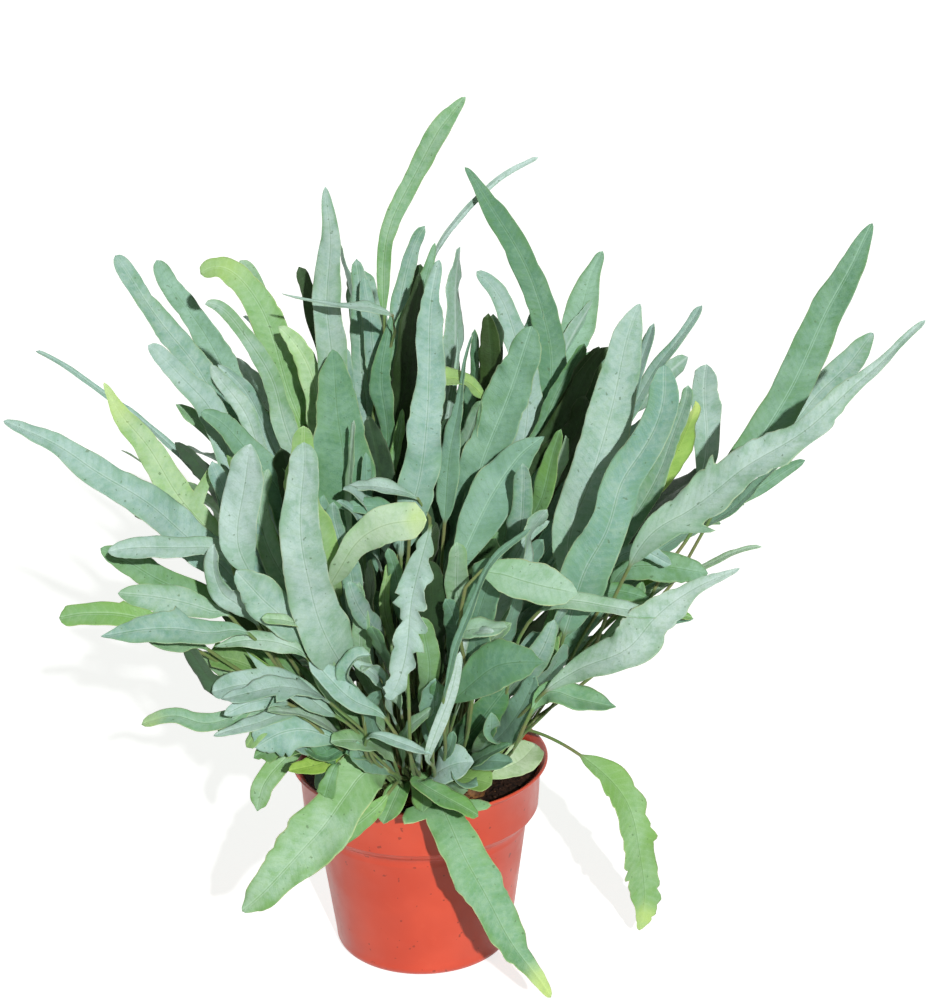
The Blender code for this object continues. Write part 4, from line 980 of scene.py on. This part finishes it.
def leaf_material(name, look):
    nodes = Nodes(bpy.data.materials.new(name))
    ramp, mix, times = nodes.ramp, nodes.mix, nodes.times
    dim, pale, flesh, under = (srgb(*colour) for colour in look[:4])
    vein, aside, edge = nodes.attribute("leaf_place")
    grown, yellow, upper = nodes.attribute("leaf_growth")
    tone, offset, ribbed = nodes.attribute("leaf_tone")
    blotch = nodes.noise(115, 5.0, 0.62)
    mottle = nodes.noise(420, 4.0, 0.62)
    fine = nodes.noise(1500, 2.0)

    # The waxy bloom, thin in blotches and toward the margins and the foot, where the darker green is
    # partly thin bloom and partly painted shade.
    clouds = ramp(blotch, 0.34, 0.66, -0.15, 0.15)
    flecks = ramp(mottle, 0.34, 0.66, -0.12, 0.12)
    bloom = nodes.math("ADD", nodes.math("ADD", tone, clouds), flecks, clamp=True)
    colour = mix(bloom, dim, pale)
    colour = mix(ramp(mottle, 0.46, 0.66, 0, 0.30), colour, flesh)
    colour = mix(ramp(blotch, 0.46, 0.34, 0, 0.32), colour, flesh)
    fringe = times(ramp(edge, 0.45, 1.0, 0, 0.62), ramp(nodes.noise(60), 0.38, 0.62, 0.15, 1.0))
    colour = mix(fringe, colour, flesh)
    # Darker green toward the foot: partly a thinner bloom, partly painted shade.
    colour = mix(ramp(grown, 0.45, 0.0, 0, 0.45), colour, flesh)
    flush = times(ramp(nodes.noise(40, 2.0), 0.47, 0.64), ramp(offset, 0.25, 0.9, 0.08, 0.70))
    colour = mix(flush, colour, flesh)
    colour = mix(ramp(offset, 0.50, 1.0, 0, 0.40 * look.drift), colour, WARM_GREEN)
    colour = mix(ramp(offset, 0.50, 0.0, 0, 0.26 * look.drift), colour, COOL_BLUE)

    # Side veins, paler between them, and the midrib as a ridge with a groove.
    wobble = nodes.math("MULTIPLY_ADD", mottle, 2.6, vein)
    wobble = nodes.math("MULTIPLY_ADD", blotch, 6.0, wobble)
    nearest = nodes.math("PINGPONG", wobble, VEIN_HALF_GAP)
    inside = times(ramp(edge, 0.78, 0.97, 1, 0), ramp(grown, 0.02, 0.1))
    lateral = times(ramp(nearest, 0.0, 0.55, 1, 0), inside)
    between = times(ramp(nearest, 1.2, VEIN_HALF_GAP), inside)
    colour = mix(times(lateral, 0.13), colour, flesh)
    colour = mix(times(between, 0.08), colour, pale)
    beside = times(ramp(aside, 0.9, 0.45), ramp(aside, 0.15, 0.35))
    ridge = nodes.math("MULTIPLY_ADD", ribbed, 0.6, 0.05)
    colour = mix(times(beside, ridge), colour, pale)
    groove = times(ramp(aside, 0.08, 0.30, 1.0, 0), ramp(grown, 0.98, 0.80))
    groove = times(groove, ramp(ribbed, 0.0, 1.0, 0.45, 0.10))
    colour = mix(groove, colour, mix(0.45, flesh, SPOT_COLOUR))

    speck = ramp(nodes.noise(560, 1.0, 0.3), 0.745, 0.775, 0, 0.55)
    colour = mix(speck, colour, SPOT_COLOUR)
    colour = mix(times(yellow, ramp(blotch, 0.3, 0.6, 1.0, 0.7)), colour, TIP_YELLOW)

    # The lower side, the straw-coloured rim and the bare stalk.
    below = mix(ramp(mottle, 0.4, 0.65, 0, 0.4), under, flesh)
    below = mix(ramp(aside, 1.0, 0.3, 0, 0.5), below, pale)
    colour = mix(ramp(upper, 0.45, 0.55, 1, 0), colour, below)
    rim = times(ramp(edge, 0.94, 0.985, 0, look.rim), ramp(blotch, 0.38, 0.56, 0.25, 1.0))
    colour = mix(rim, colour, RIM_STRAW)
    bark = mix(ramp(blotch, 0.35, 0.65), srgb(98, 130, 72), srgb(120, 122, 78))
    colour = mix(ramp(grown, 0.0, 0.05, 1, 0), colour, bark)
    colour = mix(ramp(fine, 0.3, 0.7, 0.0, 0.12), colour, flesh)

    height = nodes.math("MULTIPLY_ADD", fine, 0.5, mottle)
    height = nodes.math("MULTIPLY_ADD", lateral, -0.20, height)
    nodes.surface(colour, ramp(mottle, 0.3, 0.7, 0.50, 0.62), nodes.bump(height, 0.35, 0.0005),
                  Specular_IOR_Level=0.30, Sheen_Weight=0.05, Sheen_Roughness=0.5)
    return nodes.owner


def pot_material():
    nodes = Nodes(bpy.data.materials.new("pot_plastic"))
    cloud = nodes.noise(22)
    grain = nodes.noise(900, 2.0)
    scuff = nodes.noise(75, 5.0, 0.65)
    colour = nodes.mix(nodes.ramp(cloud, 0.35, 0.7), srgb(200, 68, 43), srgb(214, 80, 54))
    colour = nodes.mix(nodes.ramp(scuff, 0.60, 0.78, 0, 0.20), colour, srgb(222, 124, 96))
    dirt = nodes.ramp(nodes.noise(330, 1.5, 0.4), 0.715, 0.75, 0, 0.55)
    colour = nodes.mix(dirt, colour, srgb(104, 40, 28))
    height = nodes.math("MULTIPLY_ADD", scuff, 0.8, grain)
    nodes.surface(colour, nodes.ramp(scuff, 0.3, 0.75, 0.30, 0.46),
                  nodes.bump(height, 0.12, 0.0002), Specular_IOR_Level=0.5)
    return nodes.owner


def soil_material():
    nodes = Nodes(bpy.data.materials.new("potting_soil"))
    crumbs = nodes.noise(420, 4.0, 0.6)
    cloud = nodes.noise(60, 2.0)
    colour = nodes.mix(nodes.ramp(crumbs, 0.35, 0.68), srgb(20, 13, 10), srgb(66, 44, 32))
    colour = nodes.mix(nodes.ramp(cloud, 0.5, 0.75, 0, 0.5), colour, srgb(88, 58, 38))
    nodes.surface(colour, 0.92, nodes.bump(crumbs, 0.8, 0.0012), Specular_IOR_Level=0.2)
    return nodes.owner


def rhizome_material():
    nodes = Nodes(bpy.data.materials.new("rhizome_scales"))
    fibre = nodes.noise(500)
    cloud = nodes.noise(70, 2.0)
    colour = nodes.mix(nodes.ramp(fibre, 0.3, 0.7), srgb(84, 50, 26), srgb(158, 112, 62))
    colour = nodes.mix(nodes.ramp(cloud, 0.42, 0.66, 0, 0.75), colour, srgb(66, 40, 24))
    nodes.surface(colour, 0.7, nodes.bump(fibre, 0.6, 0.0006), Specular_IOR_Level=0.3)
    return nodes.owner


# --- pot, soil and rhizomes ---------------------------------------------------------------

POT_HEIGHT = 95.0
LIP_RADIUS = 60.0
LIP_ROUND = 0.75
BAND_TOP_RADIUS = 56.6
BAND_RADIUS = 55.4
BAND_BOTTOM = 71.5
BODY_TOP_RADIUS = 49.8
BODY_TOP = 65.2
BODY_BOTTOM_RADIUS = 42.0
FOOT_CORNER = 5.0
WALL = 1.2
POT_FLOOR = 1.5
CHANNEL_LIFT = 2.5              # hollow under the pot, and the ring that it raises inside
CHANNEL_TOP = POT_FLOOR + CHANNEL_LIFT
CHANNEL_INNER = 16.0
CHANNEL_OUTER = 34.5
DRAIN_HOLES = 8
DRAIN_RADIUS = 3.5
DRAIN_CIRCLE = 25.5
DRAIN_STEPS = 24
DRILL_LENGTH = 12
POT_STEPS = 160
SHARP_ANGLE = 38                # edges sharper than this stay hard
SOIL_TOP = 89.0
SOIL_GAP = 0.4                  # between the soil and the pot
SOIL_TOP_GAP = 0.35
SOIL_STEPS = 180
SOIL_RINGS = 60
CRUMBS = 520
CRUMB_SPREAD = 53.0             # radius of the soil that they lie on
BARK_EVERY = 9                  # one crumb in so many is a piece of bark
STEM_RADIUS = 3.9               # of a rhizome under its scales
STEM_STEPS = 60
STEM_AROUND = 20
SCALES = 420                    # on each rhizome


def arc(centre, radius, start, end, steps):
    """Points on an arc; 0 degrees toward +radius and 90 up."""
    angles = np.radians(np.linspace(start, end, steps + 1))
    return [(centre[0] + radius * math.cos(a), centre[1] + radius * math.sin(a)) for a in angles]


def ease(start, end, steps):
    """An S-shaped run between two points of the profile."""
    return [(start[0] + (end[0] - start[0]) * float(smooth(t)),
             start[1] + (end[1] - start[1]) * t) for t in np.linspace(0, 1, steps + 1)]


def revolve(name, profile, steps, materials):
    """A closed turned mesh; the profile runs from the axis over the inside and back."""
    ring = [(math.cos(math.tau * k / steps), math.sin(math.tau * k / steps))
            for k in range(steps)]
    vertices, rows = [], []
    for radius, height in profile:
        if radius < 1e-6:
            rows.append([len(vertices)] * steps)
            vertices.append((0, 0, height))
        else:
            rows.append(list(range(len(vertices), len(vertices) + steps)))
            vertices += [(x * radius, y * radius, height) for x, y in ring]
    faces = []
    for low, high in zip(rows, rows[1:]):
        for k in range(steps):
            following = (k + 1) % steps
            corners = (low[k], low[following], high[following], high[k])
            face = tuple(dict.fromkeys(corners))
            if len(face) > 2:
                faces.append(face[::-1])
    return make_piece(name, vertices, faces, materials)


def pot_profile():
    """Radii and heights of the pot's section, from the middle of its floor over the lip."""
    inside = [(0, POT_FLOOR), (CHANNEL_INNER - 1.5, POT_FLOOR), (CHANNEL_INNER, CHANNEL_TOP),
              (BODY_BOTTOM_RADIUS - WALL - 2.0, CHANNEL_TOP),
              (BODY_BOTTOM_RADIUS - WALL + 0.5, CHANNEL_TOP + 2.5),
              (BODY_TOP_RADIUS - WALL, BODY_TOP + 0.8),
              (BAND_RADIUS - WALL, BAND_BOTTOM + 1.2),
              (BAND_TOP_RADIUS - WALL, POT_HEIGHT - 4.0),
              (LIP_RADIUS - 3.0, POT_HEIGHT - 1.6)]
    lip = arc((LIP_RADIUS - LIP_ROUND, POT_HEIGHT - LIP_ROUND), LIP_ROUND, 150, -60, 9)
    under_lip = ease((LIP_RADIUS - 1.2, POT_HEIGHT - 1.9), (BAND_TOP_RADIUS, POT_HEIGHT - 4.4), 5)
    shoulder = arc((BAND_RADIUS - 1.2, BAND_BOTTOM + 0.1), 1.2, 0, -62, 6)
    slope = ease((BAND_RADIUS - 1.1, BAND_BOTTOM - 1.6),
                 (BODY_TOP_RADIUS + 0.25, BODY_TOP + 0.2), 6)
    groove = [(BODY_TOP_RADIUS, BODY_TOP - 0.8), (BODY_TOP_RADIUS - 0.12, BODY_TOP - 2.4),
              (BODY_TOP_RADIUS - 0.06, BODY_TOP - 3.1), (BODY_TOP_RADIUS - 0.22, BODY_TOP - 3.8)]
    foot = arc((BODY_BOTTOM_RADIUS - FOOT_CORNER, FOOT_CORNER), FOOT_CORNER, 6, -90, 12)
    body = [(BODY_TOP_RADIUS - 0.22 + (foot[0][0] - BODY_TOP_RADIUS + 0.22) * t,
             BODY_TOP - 3.8 + (foot[0][1] - BODY_TOP + 3.8) * t)
            for t in np.linspace(0.1, 0.95, 12)]
    underside = [(CHANNEL_OUTER + 1.2, 0), (CHANNEL_OUTER, CHANNEL_LIFT),
                 (CHANNEL_INNER + 1.2, CHANNEL_LIFT), (CHANNEL_INNER, 0), (0, 0)]
    return inside + lip + under_lip + shoulder + slope + groove + body + foot + underside


def drill_holes(pot):
    """Cuts the ring of drain holes through the pot's floor."""
    cutters = []
    for index in range(DRAIN_HOLES):
        angle = math.tau * index / DRAIN_HOLES
        bpy.ops.mesh.primitive_cylinder_add(
            vertices=DRAIN_STEPS, radius=DRAIN_RADIUS * MM, depth=DRILL_LENGTH * MM,
            location=(DRAIN_CIRCLE * MM * math.cos(angle), DRAIN_CIRCLE * MM * math.sin(angle),
                      CHANNEL_LIFT * MM))
        cutters.append(bpy.context.object)
    for cutter in cutters:
        hole = pot.modifiers.new("hole", "BOOLEAN")
        hole.operation = "DIFFERENCE"
        hole.solver = "EXACT"
        hole.object = cutter
    bpy.context.view_layer.update()
    depsgraph = bpy.context.evaluated_depsgraph_get()
    drilled = bpy.data.meshes.new_from_object(pot.evaluated_get(depsgraph))
    pot.modifiers.clear()
    pot.data = drilled
    for cutter in cutters:
        bpy.data.objects.remove(cutter)


def make_pot(plastic):
    pot = revolve("pot_shell", pot_profile(), POT_STEPS, [plastic])
    drill_holes(pot)
    pot.data.set_sharp_from_angle(angle=math.radians(SHARP_ANGLE))
    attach(pot, "root")
    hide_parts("pot")


def pot_inner_radius(height):
    """Inside radius of the pot's wall at a height in the rim band."""
    low, high = BAND_BOTTOM + 1.2, POT_HEIGHT - 4.0
    share = (height - low) / (high - low)
    return BAND_RADIUS - WALL + (BAND_TOP_RADIUS - BAND_RADIUS) * share


def make_soil(peat):
    edge = pot_inner_radius(SOIL_TOP) - SOIL_TOP_GAP
    top = [(edge * share, SOIL_TOP) for share in np.linspace(0, 1, SOIL_RINGS)]
    below = [(pot_inner_radius(80) - SOIL_GAP, 80),
             (BAND_RADIUS - WALL - SOIL_GAP, BAND_BOTTOM + 1.6),
             (BODY_TOP_RADIUS - WALL - SOIL_GAP, BODY_TOP + 1.0),
             (BODY_BOTTOM_RADIUS - WALL + 0.1, CHANNEL_TOP + 2.9),
             (BODY_BOTTOM_RADIUS - WALL - 2.3, CHANNEL_TOP + SOIL_GAP),
             (0, CHANNEL_TOP + SOIL_GAP)]
    soil = revolve("soil_mass", top + below, SOIL_STEPS, [peat])
    for vertex in soil.data.vertices:
        radius = math.hypot(vertex.co.x, vertex.co.y) / MM
        if vertex.co.z / MM > SOIL_TOP - 0.5 and radius < edge - 0.5:
            coarse = noise.fractal(vertex.co * 130, 1.0, 2.2, 3)
            clod = noise.fractal(vertex.co * 480, 0.9, 2.0, 3)
            settle = smooth((edge - radius) / 4)
            vertex.co.z += (1.0 * coarse + 0.8 * clod) * MM * float(settle)
    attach(soil, "root")
    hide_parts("soil")


def lump_faces(start):
    """Faces of a six-cornered crumb: four corners around, one above and one below."""
    a, b, c, d, e, f = range(start, start + 6)
    return [(a, b, e), (b, c, e), (c, d, e), (d, a, e), (b, a, f), (c, b, f), (d, c, f),
            (a, d, f)]


def make_crumbs(peat, bark):
    """Loose crumbs of peat and bark on the soil."""
    rng = np.random.RandomState(71)
    corners = np.array([(1, 0, 0), (0, 1, 0), (-1, 0, 0), (0, -1, 0), (0, 0, 1), (0, 0, -1)])
    vertices, faces, slots = [], [], []
    for number in range(CRUMBS):
        radius = CRUMB_SPREAD * math.sqrt(rng.uniform(0.1, 1))
        angle = rng.uniform(0, math.tau)
        size = rng.uniform(0.5, 1.7)
        centre = np.array((radius * math.cos(angle), radius * math.sin(angle),
                           SOIL_TOP + size * 0.35 + rng.uniform(0, 0.5)))
        turn = np.array(Matrix.Rotation(rng.uniform(0, math.tau), 3,
                                        Vector(rng.normal(size=3))))
        shape = corners * rng.uniform(0.5, 1.2, (6, 1)) * size * (1, 0.8, 0.6)
        faces += lump_faces(len(vertices))
        slots += [1 if number % BARK_EVERY == 0 else 0] * 8
        vertices += (centre + shape @ turn.T).tolist()
    crumbs = make_piece("soil_crumbs", vertices, faces, [peat, bark], slots)
    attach(crumbs, "root")


def ring_tube(points, radii, around):
    """Vertices and faces of a closed tube along a line."""
    along = unit(np.gradient(points, axis=0))
    nearly_up = np.array((0.03, 0.05, 1.0))
    side = unit(np.cross(along, nearly_up))
    up = np.cross(side, along)
    angles = np.linspace(0, math.tau, around, endpoint=False)
    rows = []
    for index, radius in enumerate(radii):
        rows.append(points[index] + (np.outer(np.cos(angles), side[index])
                                     + np.outer(np.sin(angles), up[index])) * radius)
    index, quads = tube_quads(len(radii), around)
    faces = quads.tolist() + [index[0].tolist()[::-1], index[-1].tolist()]
    return np.vstack(rows).tolist(), faces


def add_scale(vertices, faces, rng, foot, outward, along):
    """One narrow, pointed scale: a flat four-sided foot and middle, then its tip."""
    heading = unit(outward * rng.uniform(0.35, 0.9) + along * rng.uniform(-1, 1)
                   + rng.normal(size=3) * 0.25)
    length = rng.uniform(1.6, 3.6)
    wide = unit(np.cross(heading, outward + rng.normal(size=3) * 0.1)) * 0.28
    thick = unit(np.cross(wide, heading)) * 0.12
    middle = foot + heading * length * 0.5 + outward * 0.1
    start = len(vertices)
    for centre, scale in ((foot, 1.0), (middle, 0.75)):
        vertices += [(centre + offset * scale).tolist() for offset in (wide, thick, -wide, -thick)]
    vertices.append((foot + heading * length).tolist())
    for k in range(4):
        n = (k + 1) % 4
        faces.append((start + k, start + n, start + 4 + n, start + 4 + k))
        faces.append((start + 4 + k, start + 4 + n, start + 8))
    faces.append((start + 3, start + 2, start + 1, start))


def make_rhizomes(scales):
    """Creeping stems covered with hairy scales."""
    for name, points in RHIZOMES.items():
        rng = np.random.RandomState(seed_of(name))
        line = through_points(points, STEM_STEPS)
        share = np.linspace(0, 1, len(line))
        radii = STEM_RADIUS * np.minimum(1, 0.25 + 3.2 * np.sqrt(np.minimum(share, 1 - share)))
        radii = radii + waves(rng, share * 90, (17, 9), (0.25, 0.15))
        vertices, faces = ring_tube(line, radii, STEM_AROUND)
        along = unit(np.gradient(line, axis=0))
        for _ in range(SCALES):
            index = rng.randint(1, len(line) - 1)
            angle = rng.uniform(-0.35, math.pi + 0.35)
            side = unit(np.cross(along[index], UP))
            outward = side * math.cos(angle) + UP * math.sin(angle)
            foot = line[index] + outward * (radii[index] - 0.35)
            add_scale(vertices, faces, rng, foot, outward, along[index])
        stem = make_piece(f"rhizome_{name}_scaly", vertices, faces, [scales])
        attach(stem, "root")
        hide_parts(f"rhizome_{name}")


# --- fronds -------------------------------------------------------------------------------

def make_fronds(leaves):
    for name, frond in FRONDS.items():
        fronds = (frond, HEART_TAIL) if name == "heart_1" else (frond,)
        piece = frond_object(f"leaf_{name}", fronds, leaves)
        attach(piece, "root")
        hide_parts(f"frond_{name}")
    for name, fronds in INNER.items():
        piece = frond_object(name, fronds, leaves, INNER_FINENESS)
        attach(piece, "root")
    fillers = filler_fronds()
    for group in range(FILLERS // FILLER_GROUP):
        chosen = fillers[group * FILLER_GROUP:(group + 1) * FILLER_GROUP]
        piece = frond_object(f"filler_{group + 1}", chosen, leaves, FILLER_FINENESS)
        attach(piece, "root")


# --- stage --------------------------------------------------------------------------------

STAGE_SIZE = 60                 # metres
STAGE_GREY = (0.55, 0.55, 0.55, 1)
STAGE_GLOW = 0.77               # added for the camera and reflections, so that they see white
SKY_COLOUR = (0.86, 1, 0.68, 1)
SKY_STRENGTH = 0.15
# Each lamp's name, strength, softness in degrees and the direction that it shines in.
SUNS = (("key", 3.35, 1.2, (-0.22, 1.0, -0.50)), ("fill", 0.6, 30, (0.4, -1.0, -0.9)))
CAMERA_PLACE = (0.0239, -1.0408, 0.6008)
CAMERA_LENS = 88.2
CAMERA_PITCH = -20
CAMERA_ROLL = -1


def make_floor():
    bpy.ops.mesh.primitive_plane_add(size=STAGE_SIZE)
    floor = bpy.context.object
    floor.name = "floor"
    nodes = Nodes(bpy.data.materials.new("floor_white"))
    paint = nodes.surface(STAGE_GREY, 0.9, Specular_IOR_Level=0.0)
    glow = nodes.filled("ShaderNodeEmission", 0,
                        {"Color": WHITE, "Strength": nodes.times(nodes.seen(), STAGE_GLOW)})
    both = nodes.filled("ShaderNodeAddShader", 0, {0: paint, 1: glow})
    nodes.feed(nodes.tree.nodes["Material Output"].inputs["Surface"], both)
    floor.data.materials.append(nodes.owner)


def make_light():
    """A dim sky that the camera and reflections see as white, and two suns."""
    nodes = Nodes(bpy.data.worlds.new("studio"))
    sky = nodes.tree.nodes["Background"]
    nodes.feed(sky.inputs["Color"], SKY_COLOUR)
    nodes.feed(sky.inputs["Strength"], SKY_STRENGTH)
    backdrop = nodes.filled("ShaderNodeBackground", 0, {"Color": WHITE})
    choice = nodes.filled("ShaderNodeMixShader", 0,
                          {0: nodes.seen(), 1: sky.outputs[0], 2: backdrop})
    nodes.feed(nodes.tree.nodes["World Output"].inputs["Surface"], choice)
    bpy.context.scene.world = nodes.owner
    for name, energy, softness, toward in SUNS:
        sun = bpy.data.lights.new(name, "SUN")
        sun.energy = energy
        sun.angle = math.radians(softness)
        lamp = bpy.data.objects.new(name, sun)
        lamp.rotation_euler = Vector(toward).to_track_quat("-Z", "Y").to_euler()
        bpy.context.scene.collection.objects.link(lamp)


def make_camera():
    camera = bpy.data.cameras.new("camera")
    camera.lens = CAMERA_LENS
    camera.sensor_width = 36
    camera.clip_end = 50
    holder = bpy.data.objects.new("camera", camera)
    pitch = Matrix.Rotation(math.radians(90 + CAMERA_PITCH), 4, "X")
    roll = Matrix.Rotation(math.radians(CAMERA_ROLL), 4, "Z")
    holder.matrix_world = Matrix.Translation(CAMERA_PLACE) @ pitch @ roll
    bpy.context.scene.collection.objects.link(holder)
    bpy.context.scene.camera = holder


def main():
    make_camera()
    make_light()
    make_floor()
    plastic = pot_material()
    peat = soil_material()
    scales = rhizome_material()
    leaves = {kind: leaf_material(f"leaf_{kind}", look) for kind, look in LEAF_LOOKS.items()}
    make_pot(plastic)
    make_soil(peat)
    make_crumbs(peat, scales)
    make_rhizomes(scales)
    make_fronds(leaves)
    bpy.context.scene.view_settings.view_transform = "Standard"


main()
